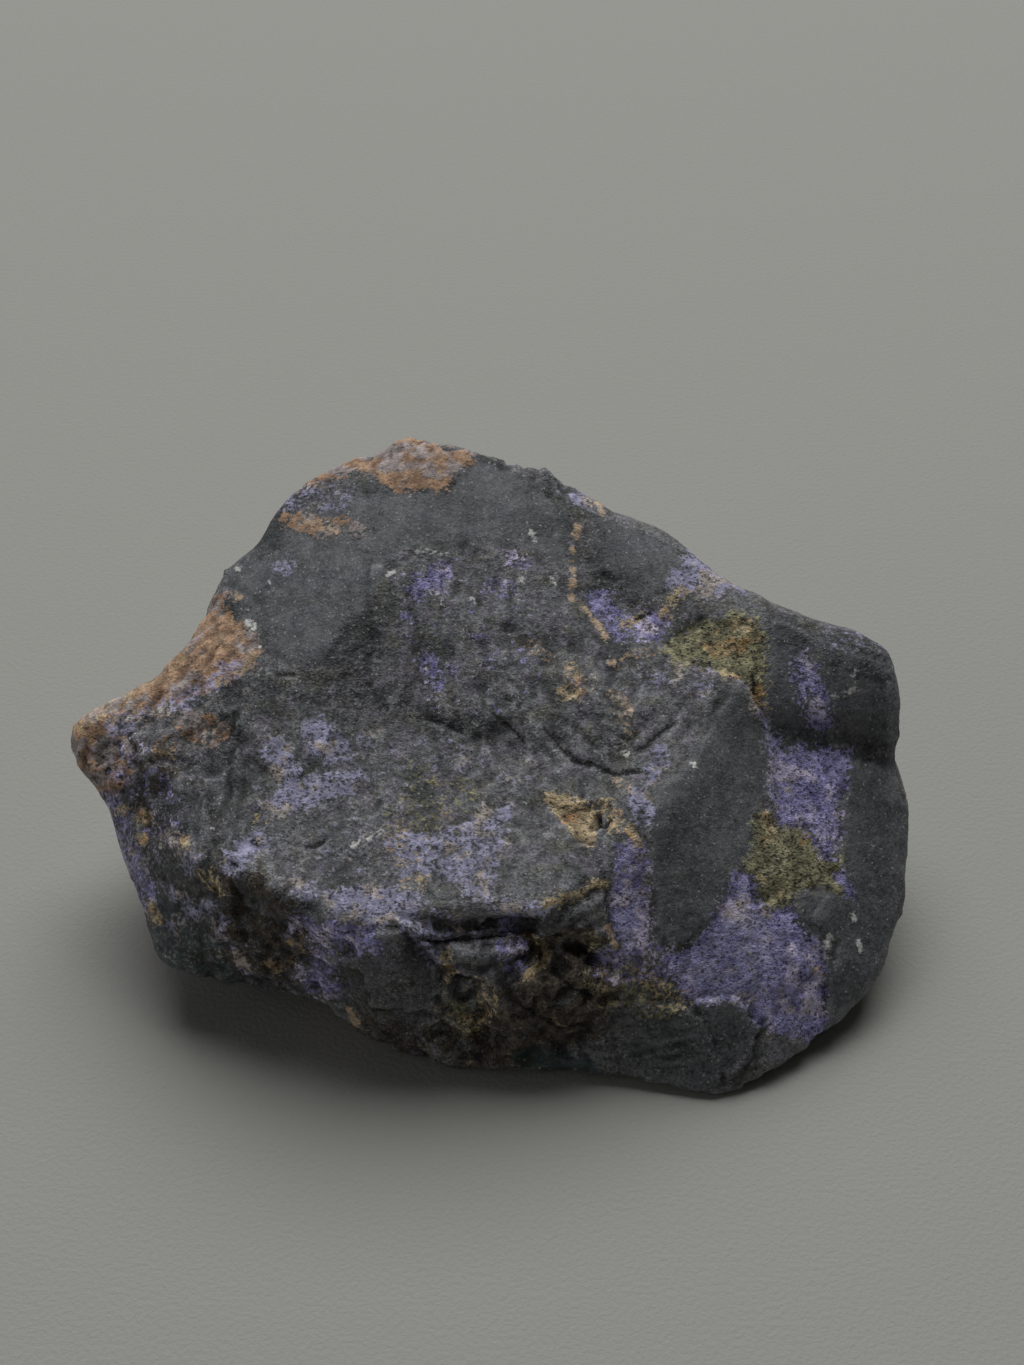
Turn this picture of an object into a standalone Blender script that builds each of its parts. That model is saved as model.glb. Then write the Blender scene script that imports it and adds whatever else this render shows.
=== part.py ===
"""A phosphosiderite specimen: one broken piece of dark rock, lying on its flattest side.

The side that is meant to be seen is laid out like a drawing in perspective. A point on it is
given as (across, up, height): its place across and up the drawing plane, and its height above
the ground. The hidden sides and the underside are given as plain (x, y, z). All are in mm.
"""

import math

import bmesh
import bpy
from mathutils import Vector, noise
from mathutils.geometry import delaunay_2d_cdt

NAME = "phosphosiderite_specimen"
MM = 0.001

# The drawing plane leans back, and its lines of sight all meet at the eye.
DRAWING_TILT = math.radians(42.0)
EYE_DISTANCE = 250.0
DRAWING_CENTRE = Vector((2.5, 10.0, 21.0))
DRAWING_AXIS = Vector((1.2, 1.75))
LEAN = math.sin(DRAWING_TILT)
RISE = math.cos(DRAWING_TILT)

# The mesh: a coarse cage is rounded, roughened, thinned out and cut flat below.
SUBDIVISIONS = 3
FACE_SHARE = 0.14  # of the rounded mesh's faces, kept when it is thinned out
BASE_CUT = 0.4  # how much comes off the underside, so that the rock stands flat
GROUND_SIZE = 400.0  # of the block that cuts it
MERGE_GAP = 1e-6
STONE_COLOUR = (0.045, 0.047, 0.052, 1.0)
STONE_ROUGHNESS = 0.7

# Creases, from a knife edge to a hint of one.
SHARP = 1.0
CLEAR = 0.9
SOFT = 0.6
FAINT = 0.3
CORNER_SHARE = 0.6  # of a line's crease, at each of its points

# Broken facets: how strong they are at the edges and behind, and their shape.
EDGE_ROUGHNESS = 0.4
BACK_ROUGHNESS = 1.6
FACETS = ((17.0, 0.4), (9.0, 0.4), (4.0, 0.4))  # (size, share) of each set
FACET_TILT = 0.5
FACET_HOLLOW = 0.35
CELL_SPREAD = 37.0  # so that neighbouring facets tilt in unlike ways
CELL_MIDDLE = Vector((0.5, 0.5, 0.5))  # of the range of noise.cell_vector

# The outline, clockwise from the left tip.
OUTLINE = (
    # left tip and the long slope behind it
    (-43.5, -3.2, 21.0), (-43.0, -2.4, 22.3), (-41.8, -1.8, 23.0), (-40.3, -1.1, 23.5),
    (-37.6, 0.3, 24.4), (-36.0, 1.6, 25.0), (-34.0, 3.2, 25.6), (-32.8, 4.3, 25.9),
    (-30.4, 6.5, 26.5), (-28.9, 9.0, 27.1), (-28.0, 11.0, 27.8), (-27.1, 12.9, 28.5),
    (-25.7, 14.3, 29.3), (-23.8, 15.3, 30.0), (-23.3, 17.0, 30.4), (-21.9, 19.6, 31.6),
    (-19.0, 21.7, 33.0), (-15.1, 23.9, 34.5), (-14.4, 24.6, 34.8), (-11.2, 25.2, 35.4),
    # top, then down the back edge to the right
    (-8.9, 25.8, 35.8), (-5.4, 25.6, 35.7), (-2.8, 24.9, 35.2), (-1.0, 23.7, 34.7),
    (1.3, 22.7, 34.3), (4.5, 21.8, 33.8), (7.5, 20.6, 33.2), (9.0, 20.1, 33.0),
    (10.8, 18.8, 32.6), (14.3, 17.8, 32.3), (17.1, 16.4, 31.8), (19.4, 14.6, 31.2),
    (21.8, 12.8, 30.6), (24.6, 11.4, 30.0), (28.2, 9.7, 29.4), (31.8, 8.2, 28.8),
    (35.8, 7.1, 28.0), (38.9, 5.9, 27.2),
    # the lobe at the right end, the notch under it and the right side
    (39.7, 4.5, 26.4), (40.3, 1.3, 24.4), (40.4, -1.8, 21.8), (39.8, -4.2, 18.8),
    (39.1, -6.0, 16.4), (40.0, -8.0, 15.0), (40.4, -10.6, 13.6), (40.8, -16.0, 10.8),
    (40.5, -20.7, 8.4), (39.5, -23.9, 6.8), (38.8, -27.2, 5.0), (37.0, -29.3, 4.1),
    (35.0, -31.4, 3.3), (32.2, -34.3, 2.5), (29.0, -36.7, 1.9), (25.8, -38.5, 1.4),
    (24.2, -39.3, 1.0),
    # the front tip and the front foot
    (22.2, -39.8, 0.6), (20.6, -39.5, 0.7), (17.8, -38.6, 1.2), (13.9, -37.7, 1.5),
    (11.1, -37.1, 1.7), (7.9, -37.1, 1.5), (3.9, -37.2, 1.3), (-0.1, -37.3, 1.0),
    (-2.8, -37.2, 1.0), (-6.0, -36.7, 1.3), (-9.8, -35.7, 1.9), (-11.5, -34.9, 2.4),
    # the left part, which hangs over the ground
    (-14.1, -33.3, 3.3), (-15.4, -32.2, 4.0), (-15.7, -31.0, 4.6), (-17.3, -30.2, 5.0),
    (-20.0, -29.5, 5.4), (-22.2, -28.9, 5.8), (-25.2, -28.4, 6.1), (-27.8, -28.1, 6.3),
    (-30.4, -27.6, 6.5), (-33.0, -26.4, 7.0), (-34.3, -25.1, 8.0), (-35.3, -22.5, 9.6),
    (-36.3, -19.6, 11.4), (-37.3, -17.6, 12.5), (-38.9, -13.7, 14.7), (-39.4, -11.4, 15.9),
    (-40.2, -9.5, 17.1), (-42.2, -7.2, 18.8), (-43.3, -5.2, 20.2),
)

# Broken edges, ridges and valleys on the seen side: (how sharp, points).
SEEN_LINES = {
    "rust_crest": (CLEAR, ((-43.0, -2.4, 22.3), (-39.0, -1.8, 23.0), (-35.0, -0.8, 24.3),
                           (-31.0, 0.0, 25.2), (-27.5, 2.0, 26.2), (-23.8, 4.5, 27.6))),
    "rust_end": (SOFT, ((-23.8, 4.5, 27.6), (-24.8, 6.4, 28.0), (-27.0, 7.6, 27.3),
                        (-28.0, 11.0, 27.8))),
    "left_corner": (SOFT, ((-31.0, 0.0, 25.2), (-32.2, -3.5, 23.4), (-31.2, -9.0, 21.8),
                           (-31.0, -15.2, 20.4))),
    "left_foot": (SOFT, ((-31.0, -15.2, 20.4), (-33.5, -17.0, 15.6), (-35.0, -19.5, 12.6),
                         (-35.3, -22.5, 9.6))),
    "ledge_rim": (SHARP, ((-31.0, -15.2, 20.4), (-27.5, -16.4, 20.2), (-23.8, -18.8, 19.6),
                          (-20.8, -19.4, 19.4), (-17.2, -21.2, 18.6), (-15.5, -22.6, 17.8),
                          (-12.5, -23.1, 17.4), (-9.8, -22.7, 17.6), (-7.5, -21.1, 18.8),
                          (-2.0, -20.9, 19.0), (4.5, -21.2, 18.6), (7.5, -19.3, 19.2),
                          (10.0, -17.8, 19.4))),
    "under_rim": (SOFT, ((-9.8, -22.7, 17.6), (-7.0, -22.1, 15.4), (-2.0, -21.8, 15.2),
                         (4.2, -22.1, 15.2), (7.2, -21.0, 16.4), (10.3, -20.5, 17.0))),
    "recess_lip": (SOFT, ((-9.0, -23.6, 15.8), (-6.0, -23.6, 14.9), (-2.0, -23.5, 15.0),
                          (4.0, -23.6, 14.6), (7.4, -23.4, 14.8), (10.6, -23.6, 15.0))),
    "front_corner": (CLEAR, ((-15.5, -22.6, 17.8), (-16.0, -26.5, 12.0), (-15.7, -31.0, 4.6))),
    "scoop_valley": (FAINT, ((-26.4, 0.0, 25.0), (-25.4, -6.0, 22.7), (-25.0, -12.0, 21.2))),
    "slab_ridge": (SOFT, ((-11.2, 12.8, 32.0), (-15.0, 8.8, 30.2), (-17.8, 5.2, 28.8),
                          (-20.0, 1.0, 27.0))),
    "step_top": (FAINT, ((-9.0, -1.2, 24.7), (-4.0, -1.0, 24.6), (1.0, -1.6, 24.5),
                         (5.0, -2.8, 24.2), (9.4, -5.2, 23.6))),
    "step_foot": (CLEAR, ((-9.4, -3.0, 23.6), (-4.5, -4.0, 22.9), (0.5, -4.6, 22.6),
                          (5.5, -5.6, 22.4), (9.4, -6.9, 22.3), (13.6, -7.0, 23.2))),
    "vein_valley": (SOFT, ((9.0, 20.1, 33.0), (7.3, 15.5, 31.0), (7.7, 11.5, 29.4),
                           (10.0, 6.8, 27.6), (12.2, 4.8, 26.8))),
    "long_ridge": (CLEAR, ((10.0, -17.8, 19.4), (12.5, -14.8, 20.6), (14.1, -12.0, 21.8),
                           (16.0, -9.0, 22.8), (19.2, -6.8, 23.4), (21.0, -2.2, 24.6),
                           (23.3, 1.9, 26.5))),
    "slab_end": (SOFT, ((23.3, 1.9, 26.5), (25.2, 0.0, 24.8), (26.4, -2.4, 22.0),
                        (27.7, -8.0, 19.3), (26.8, -13.0, 17.4), (25.2, -18.0, 15.6),
                        (22.0, -22.5, 13.8), (20.0, -24.8, 12.6))),
    "front_ridge": (CLEAR, ((10.0, -17.8, 19.4), (10.3, -20.5, 17.0), (10.6, -23.6, 15.0),
                            (11.9, -24.6, 14.4), (14.9, -24.3, 13.6), (19.0, -30.4, 8.2),
                            (22.9, -36.8, 3.0), (22.2, -39.8, 0.6))),
    "lobe_brow": (CLEAR, ((24.6, 11.4, 30.0), (26.5, 9.2, 29.3), (30.0, 7.4, 28.6),
                          (34.5, 5.6, 27.6), (39.0, 3.6, 26.2), (40.3, 1.3, 24.4))),
    "lobe_side": (FAINT, ((26.5, 9.2, 29.3), (26.4, 5.0, 27.5), (26.6, 0.5, 24.8),
                          (27.0, -3.3, 21.0))),
    "lobe_belly": (FAINT, ((28.5, -1.5, 23.2), (31.5, -1.3, 23.3), (35.0, -1.7, 22.6),
                           (38.0, -2.6, 21.3))),
    "lobe_foot": (CLEAR, ((27.0, -3.3, 21.0), (30.0, -3.8, 20.2), (33.0, -3.9, 19.6),
                          (36.0, -4.3, 18.4), (37.5, -5.0, 17.6), (39.1, -6.0, 16.4))),
}

# Points between those lines: (how rough the surface is there, points).
SEEN_SPOTS = {
    "left_face": (0.9, ((-42.2, -4.2, 21.5), (-39.0, -6.0, 21.0), (-35.0, -6.0, 22.2),
                        (-36.0, -12.0, 17.8))),
    "front_left": (0.6, ((-28.0, -20.5, 15.6), (-22.0, -24.0, 12.4), (-30.0, -24.6, 10.0),
                         (-19.5, -27.0, 9.0))),
    "scoop": (0.3, ((-28.8, -10.0, 21.1),)),
    "upper_slab": (0.25, ((-20.0, 14.0, 31.0), (-15.0, 17.5, 33.0), (-21.0, 8.0, 29.0),
                          (-10.0, 20.0, 34.8), (-25.0, 10.0, 28.6), (-17.0, 11.0, 30.6))),
    "bowl": (0.45, ((-9.5, 11.0, 31.0), (-12.5, 7.0, 29.2), (-15.5, 3.0, 27.5),
                    (-6.0, 11.0, 30.2), (-3.0, 16.0, 32.2), (2.0, 17.5, 32.6),
                    (-6.0, 5.0, 27.4), (0.0, 7.5, 28.4), (4.5, 10.0, 29.8),
                    (-10.5, 2.0, 26.0), (0.0, 2.0, 26.0), (6.0, 2.0, 26.4))),
    "ledge": (0.4, ((-20.0, -4.5, 24.6), (-23.0, -10.0, 22.4), (-15.0, -9.0, 22.0),
                    (-5.0, -10.0, 21.2), (4.0, -10.0, 21.4), (-10.0, -16.0, 19.8),
                    (0.0, -16.0, 19.9), (-17.0, -16.0, 20.0), (7.5, -15.0, 20.4),
                    (-11.5, -1.5, 24.4))),
    "back_facet": (0.6, ((14.0, 14.0, 31.2), (19.0, 10.8, 30.0), (11.5, 11.0, 29.2),
                         (15.5, 7.5, 28.0))),
    "saddle": (0.7, ((19.0, 6.0, 27.6), (23.5, 7.8, 28.6), (24.6, 4.5, 26.8),
                     (20.0, 3.2, 26.6), (15.0, 1.0, 25.8), (14.0, -3.0, 24.6),
                     (11.5, 0.0, 25.4), (18.0, -2.0, 25.0))),
    "dark_slab": (0.15, ((20.0, -14.0, 19.2), (23.5, -5.5, 22.2), (16.0, -18.0, 17.6))),
    "lobe": (0.35, ((33.0, 2.6, 25.8), (28.2, 5.4, 26.7), (29.6, 2.0, 25.3),
                    (37.2, 1.0, 24.2))),
    "under_lobe": (0.5, ((28.5, -5.6, 19.8), (33.0, -6.6, 18.4), (36.8, -7.4, 16.6))),
    "purple_slope": (0.6, ((28.0, -16.0, 15.8), (30.0, -20.0, 13.2), (30.0, -25.0, 10.0),
                           (25.0, -26.0, 10.6), (34.0, -28.0, 6.5), (27.0, -34.0, 4.6))),
    "right_slab": (0.15, ((33.0, -12.0, 16.0), (37.0, -13.0, 14.0), (35.0, -20.0, 11.0))),
    "front_face": (1.3, ((-10.0, -26.0, 14.0), (-12.0, -30.0, 8.5), (-8.0, -31.0, 7.5),
                         (-5.0, -34.0, 3.5), (0.0, -27.0, 12.0), (6.0, -27.5, 11.6),
                         (0.0, -32.0, 6.6), (6.0, -33.0, 5.6))),
    "front_plate": (0.3, ((10.0, -30.8, 8.0), (14.0, -34.0, 5.0))),
}

# Round pockets in the seen side: (place, radius, depth).
HOLLOWS = {
    "ochre_hole": ((8.4, -11.6, 21.0), 2.4, 1.5),
    "front_cavity": ((-3.2, -29.5, 9.8), 3.2, 1.8),
    "crumbly_pocket": ((5.5, -26.0, 12.6), 2.8, 1.3),
    "green_hole": ((24.8, 4.4, 26.9), 2.2, 1.2),
}

# The flat base, then the edges and points behind and below, as (x, y, z).
BASE = (
    (-10.5, -16.5, 0.0), (0.0, -19.5, 0.0), (12.0, -20.5, 0.0), (20.0, -21.5, 0.0),
    (29.0, -16.0, 0.0), (33.0, -5.0, 0.0), (31.0, 6.0, 0.0), (20.0, 16.0, 0.0),
    (5.0, 22.0, 0.0), (-8.0, 20.0, 0.0), (-16.0, 9.0, 0.0), (-17.0, -6.0, 0.0),
)
HIDDEN_LINES = {
    "back_break": (SOFT, ((-29.0, 12.0, 12.0), (-22.0, 20.0, 15.0), (-12.0, 28.5, 17.0),
                          (-2.0, 33.5, 14.0), (10.0, 31.0, 15.0), (22.0, 24.0, 12.0),
                          (33.0, 15.5, 11.0), (38.5, 6.0, 8.0))),
    "back_spine": (SOFT, ((-5.0, 34.0, 25.0), (-2.0, 33.5, 14.0), (-4.0, 29.0, 6.5),
                          (-8.0, 20.0, 0.0))),
    "right_spine": (SOFT, ((33.0, 15.5, 11.0), (33.0, 11.0, 5.0), (31.0, 6.0, 0.0))),
    "left_keel": (SOFT, ((-38.5, 4.5, 15.5), (-35.0, 3.0, 11.0), (-29.0, 2.0, 7.0),
                         (-22.5, 0.0, 2.6), (-17.0, -6.0, 0.0))),
}
HIDDEN_SPOTS = {
    "upper_back": (1.7, ((-19.0, 26.0, 26.0), (9.0, 29.5, 24.0), (20.0, 25.0, 21.0),
                         (31.0, 17.0, 19.0), (38.0, 11.0, 16.0))),
    "lower_back": (2.0, ((-19.0, 17.0, 6.0), (8.0, 27.0, 6.0), (21.0, 20.5, 5.0))),
    "underside": (1.5, ((-25.0, -9.0, 3.4), (-26.0, 9.0, 7.0), (-32.0, -6.0, 8.0))),
    "right_side": (1.0, ((38.0, -6.0, 5.0), (33.5, -13.0, 1.5))),
}

# The edge seen as the outline is blunt: more points lie behind it, this far in and below.
EDGE_STEP = 2  # behind every other point of the outline
EDGE_INSET = 1.3
EDGE_DROP = 4.0
EDGE_CLEARANCE = 1.5  # from the ground
EDGE_MIDDLE = Vector((0.0, -6.0))


def from_drawing(across, up, height):
    """Where the line of sight through a place on the drawing plane meets a height."""
    climb = (up - DRAWING_AXIS.y) * RISE
    nearness = (height - DRAWING_CENTRE.z - climb) / (LEAN - climb / EYE_DISTANCE)
    scale = 1 - nearness / EYE_DISTANCE
    x = DRAWING_CENTRE.x + scale * (across - DRAWING_AXIS.x)
    y = DRAWING_CENTRE.y + scale * (up - DRAWING_AXIS.y) * LEAN - nearness * RISE
    return Vector((x, y, height))


def on_drawing(point):
    """The place on the drawing plane where a point in space is seen."""
    offset = point - DRAWING_CENTRE
    nearness = offset.z * LEAN - offset.y * RISE
    scale = 1 - nearness / EYE_DISTANCE
    up = (offset.y * LEAN + offset.z * RISE) / scale
    return DRAWING_AXIS + Vector((offset.x / scale, up))


def lay_sheet(lines, spots):
    """Triangles inside the outline, meeting along the lines across it and at the spots.

    Lines and spots are points in space, a line as (crease, points) and the spots as
    (roughness, points). Returns each point's roughness, the triangles as indices into the
    points, and the crease of each creased edge.
    """
    roughness = {p.freeze(): EDGE_ROUGHNESS for p in rock_outline()}
    border = list(range(len(roughness)))
    for _, line in lines:
        roughness.update((p.freeze(), EDGE_ROUGHNESS) for p in line)
    for rough, group in spots:
        roughness.update((p.freeze(), rough) for p in group)
    points = list(roughness)
    creases = {}
    for crease, line in lines:
        for start, end in zip(line, line[1:]):
            creases[points.index(start), points.index(end)] = crease
    flat = [on_drawing(p) for p in points]
    inside = 1  # the faces within the border
    places, _, faces, sources, _, _ = delaunay_2d_cdt(
        flat, list(creases), [border], inside, MERGE_GAP)
    if len(places) != len(points):
        raise ValueError("two creased lines cross, or two points coincide")
    triangles = [[sources[i][0] for i in face] for face in faces]
    return roughness, triangles, creases


def clear_scene():
    """Remove every object and mesh left from before."""
    for item in list(bpy.data.objects):
        bpy.data.objects.remove(item, do_unlink=True)
    for mesh in list(bpy.data.meshes):
        bpy.data.meshes.remove(mesh)


def rock_outline():
    """The outline's points in space."""
    return [from_drawing(*p) for p in OUTLINE]


def seen_sheet():
    """The sheet for the sides laid out on the drawing plane."""
    lines = [(crease, [from_drawing(*p) for p in line]) for crease, line in SEEN_LINES.values()]
    spots = [(rough, [from_drawing(*p) for p in group]) for rough, group in SEEN_SPOTS.values()]
    return lay_sheet(lines, spots)


def edge_backs():
    """Points behind the outline's, where they are high enough above the ground."""
    for across, up, height in OUTLINE[::EDGE_STEP]:
        place = Vector((across, up))
        place += EDGE_INSET * (EDGE_MIDDLE - place).normalized()
        if height > EDGE_DROP + EDGE_CLEARANCE:
            yield from_drawing(place.x, place.y, height - EDGE_DROP)


def hidden_sheet():
    """The sheet for the sides behind and below, with the ring of the base in it."""
    ring = [Vector(p) for p in BASE + BASE[:1]]
    lines = [(crease, [Vector(p) for p in line]) for crease, line in HIDDEN_LINES.values()]
    spots = [(rough, [Vector(p) for p in group]) for rough, group in HIDDEN_SPOTS.values()]
    spots.append((BACK_ROUGHNESS, [p for _, line in lines for p in line]))
    spots.append((EDGE_ROUGHNESS, list(edge_backs())))
    return lay_sheet([(SHARP, ring)] + lines, spots)


def cage():
    """The closed coarse mesh: both sheets, sewn along the outline."""
    mesh = bmesh.new()
    crease_layer = mesh.edges.layers.float.new("crease_edge")
    corner_layer = mesh.verts.layers.float.new("crease_vert")
    rough_layer = mesh.verts.layers.float.new("roughness")
    rim = [mesh.verts.new(p * MM) for p in rock_outline()]
    for roughness, triangles, creases in (seen_sheet(), hidden_sheet()):
        verts = rim + [mesh.verts.new(p * MM) for p in list(roughness)[len(rim):]]
        for vert, rough in zip(verts, roughness.values()):
            vert[rough_layer] = rough
        for triangle in triangles:
            mesh.faces.new([verts[i] for i in triangle])
        for (start, end), crease in creases.items():
            mesh.edges.get((verts[start], verts[end]))[crease_layer] = crease
            verts[start][corner_layer] = crease * CORNER_SHARE
            verts[end][corner_layer] = crease * CORNER_SHARE
    for start, end in zip(rim, rim[1:] + rim[:1]):
        mesh.edges.get((start, end))[crease_layer] = SOFT
        start[corner_layer] = SOFT * CORNER_SHARE
    bmesh.ops.recalc_face_normals(mesh, faces=mesh.faces)
    return mesh


def facets(point, size):
    """The lowest of the shallow hollows near a point, one to a Voronoi cell and each tilted."""
    heights = []
    for seed in noise.voronoi(point / size)[1]:
        offset = point / size - seed
        slope = FACET_TILT * (noise.cell_vector(seed * CELL_SPREAD) - CELL_MIDDLE)
        heights.append(offset.dot(slope) + FACET_HOLLOW * offset.length_squared)
    return size * min(heights)


def roughen(mesh):
    """Break up the smooth surface with flat facets, moving each point along its normal."""
    rough_layer = mesh.verts.layers.float["roughness"]
    mesh.normal_update()
    for vert in mesh.verts:
        rise = sum(share * facets(vert.co / MM, size) for size, share in FACETS)
        vert.co += vert.normal * (vert[rough_layer] * rise * MM)


def sink_hollows(mesh):
    """Push a round pocket into the surface at each hollow."""
    mesh.normal_update()
    for place, radius, depth in HOLLOWS.values():
        centre = from_drawing(*place) * MM
        for vert in mesh.verts:
            reach = (vert.co - centre).length / (radius * MM)
            if reach < 1:
                vert.co -= vert.normal * (depth * MM * (1 - reach**2) ** 2)


def smoothed(mesh):
    """The cage as a fine mesh, rounded except along its creases."""
    coarse = bpy.data.meshes.new("cage")
    mesh.to_mesh(coarse)
    mesh.free()
    guide = bpy.data.objects.new("cage", coarse)
    bpy.context.scene.collection.objects.link(guide)
    smooth = guide.modifiers.new("smooth", "SUBSURF")
    smooth.levels = SUBDIVISIONS
    smooth.render_levels = SUBDIVISIONS
    found = guide.evaluated_get(bpy.context.evaluated_depsgraph_get())
    fine = bmesh.new()
    fine.from_mesh(bpy.data.meshes.new_from_object(found))
    bpy.data.objects.remove(guide)
    return fine


def stone():
    """Dark blue-grey rock."""
    material = bpy.data.materials.new("stone")
    material.use_nodes = True
    shader = material.node_tree.nodes["Principled BSDF"]
    shader.inputs["Base Color"].default_value = STONE_COLOUR
    shader.inputs["Roughness"].default_value = STONE_ROUGHNESS
    return material


def collection(name):
    """A new collection in the scene."""
    group = bpy.data.collections.new(name)
    bpy.context.scene.collection.children.link(group)
    return group


def ground_block(group):
    """A block whose top is the plane that the rock is cut flat on."""
    side = GROUND_SIZE * MM
    form = bmesh.new()
    bmesh.ops.create_cube(form, size=side)
    bmesh.ops.translate(form, verts=form.verts, vec=(0, 0, BASE_CUT * MM - side / 2))
    mesh = bpy.data.meshes.new("ground_block")
    form.to_mesh(mesh)
    form.free()
    block = bpy.data.objects.new("ground_block", mesh)
    block.hide_render = True
    block.display_type = "WIRE"
    group.objects.link(block)
    return block


def add_modifiers(rock, block):
    """Thin out the rock's faces, then cut it flat on the block."""
    thin = rock.modifiers.new("thin", "DECIMATE")
    thin.ratio = FACE_SHARE
    flatten = rock.modifiers.new("flatten", "BOOLEAN")
    flatten.operation = "DIFFERENCE"
    flatten.solver = "EXACT"
    flatten.object = block


def rock_object(group):
    """The rock at full fineness, not yet cut."""
    form = smoothed(cage())
    sink_hollows(form)
    roughen(form)
    mesh = bpy.data.meshes.new(NAME)
    form.to_mesh(mesh)
    form.free()
    mesh.materials.append(stone())
    rock = bpy.data.objects.new(NAME, mesh)
    group.objects.link(rock)
    return rock


def centre_on_base(rock, block):
    """Move the rock and its cutter: the origin comes under the rock's middle, at its base."""
    bpy.context.view_layer.update()
    cut = rock.evaluated_get(bpy.context.evaluated_depsgraph_get())
    corners = [Vector(corner) for corner in cut.bound_box]
    low = Vector(map(min, zip(*corners)))
    high = Vector(map(max, zip(*corners)))
    middle = (low + high) / 2
    for item in (rock, block):
        item.location = (-middle.x, -middle.y, -low.z)


def main():
    clear_scene()
    block = ground_block(collection("cutters"))
    rock = rock_object(collection(NAME))
    add_modifiers(rock, block)
    centre_on_base(rock, block)


if __name__ == "__main__":
    main()
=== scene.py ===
"""The looks of a phosphosiderite specimen: its fine broken surface, its crusts and its studio.

Lengths are in millimetres until a mesh is written, which is in metres. Everything on the side
that is meant to be seen is placed on a drawing: a plane that leans back, with all lines of sight
meeting at one eye. The camera stands at that eye.
"""

import logging
import math
from collections.abc import Callable
from dataclasses import dataclass
from enum import Enum

import bmesh
import bpy
import numpy as np
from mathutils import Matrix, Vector, noise

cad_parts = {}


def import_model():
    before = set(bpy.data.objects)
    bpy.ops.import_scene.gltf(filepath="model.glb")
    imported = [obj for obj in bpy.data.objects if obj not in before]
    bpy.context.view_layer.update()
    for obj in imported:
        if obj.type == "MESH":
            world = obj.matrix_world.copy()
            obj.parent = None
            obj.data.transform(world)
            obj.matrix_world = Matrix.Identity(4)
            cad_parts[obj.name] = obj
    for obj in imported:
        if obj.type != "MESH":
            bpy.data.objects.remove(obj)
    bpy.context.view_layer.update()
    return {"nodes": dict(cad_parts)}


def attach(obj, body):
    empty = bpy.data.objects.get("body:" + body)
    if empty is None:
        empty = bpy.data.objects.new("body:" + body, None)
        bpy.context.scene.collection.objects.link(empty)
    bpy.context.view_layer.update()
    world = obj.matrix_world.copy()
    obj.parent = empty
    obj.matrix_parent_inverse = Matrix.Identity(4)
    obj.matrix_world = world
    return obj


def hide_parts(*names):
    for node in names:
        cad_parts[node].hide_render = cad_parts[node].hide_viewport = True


log = logging.getLogger("specimen")

MM = 0.001
NODE = "phosphosiderite_specimen"
Place = tuple[float, float]
Span = tuple[float, float]
Spot = tuple[float, float, float]
Colour = tuple[float, float, float]
Socket = bpy.types.NodeSocket

TINY = 1e-9
MERGE_GAP = 0.001  # between corners of the solid that are one
REACH = 3.0  # the most that a field rises inside a patch and falls outside it
TINT_SHIFT = 31  # so that no two tints have the same bays in their edges

# Which part of the noise a pattern is taken from, so that no two are alike.
RIDGE_PART = 70
GRAIN_PART = 50
CALM_PART = 19
TURN_PARTS = (0.0, 40.0, 90.0)
FINE_PARTS = (0.0, 77.0)
BROAD_PARTS = (0.0, 55.0)

# Each finer octave of a noise: how fast it weakens and how much finer it is.
OCTAVE_LOSS = 1.0
OCTAVE_STEP = 2.0
DETAIL_SHARE = 0.62  # how strong it is in a texture, next to the one before
CELL_SPREAD = 37.0  # so that neighbouring facets lean in unlike ways
CELL_MIDDLE = Vector((0.5, 0.5, 0.5))  # of the range of noise.cell_vector

# Between which distances from a patch's edge its relief starts and is full.
EDGE_SPAN = (-0.3, 0.3)
CRUMB_SPAN = (-0.4, 0.4)
CRACK_SPAN = (-0.35, 0.2)
SPECK_SPAN = (-0.2, 0.2)

# How strong the fine ridges and the broken edges are written into the mesh as painted shade, to a
# millimetre.
RIDGE_SHADE = 2.5
BULGE_SHADE = 5.0

# Painted shade and highlight: how dark and how light the rock's colour is made in the grooves and
# on the ridges, and inside and on top of broken edges.
STREAK_PAINTED_SHADE = (0.74, 1.26)
EDGE_PAINTED_SHADE = (0.45, 1.55)

# How far lumps and single grains stray over an edge.
EDGE_LUMPS = 4.0
EDGE_GRAINS = 1.1

# Where a noise turns from dark to light: for lumps, for the finest grit and for patches.
GRAIN_SPAN = (0.36, 0.64)
GRIT_SPAN = (0.34, 0.66)
PATCH_SPAN = (0.40, 0.60)

# How much of the light and dark comes from single grains, from the finest grit and, in a
# crust, from patches.
CELL_SHARE = 0.42
GRIT_SHARE = 0.36
PATCH_SHARE = 0.28
FINE_SHARE = 0.4  # of the finest grit in how far the surface stands out

# Specks: how much they taper, how ragged they are, where they start and how they fade.
SPECK_TAPER = 0.45
SPECK_RAGGED = 0.5
SPECK_TOP = 0.83
SPECK_FADE = 0.10

# How much pale grains and dark specks hide.
SALT_COVER = 0.75
PEPPER_COVER = 0.8

# Blotches in a crust: where in the noise they would start if they took none of it, how far
# that comes down for all of it, how they fade and how much they hide.
ACCENT_TOP = 0.64
ACCENT_RANGE = 0.38
ACCENT_FADE = 0.06
ACCENT_COVER = 0.8
ACCENT_CONTRAST = (0.5, 1.5)  # how dark and how light their grains are
BLOTCH_SHARE = 0.4  # of the broadest noise in their pattern

# Cracks: where their sides fade out, as shares of their width, where their ends do, and how
# much they hide.
CRACK_FADE = (0.6, 1.6)
CRACK_ENDS = (-0.25, 0.0)
CRACK_COVER = 0.9


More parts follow.
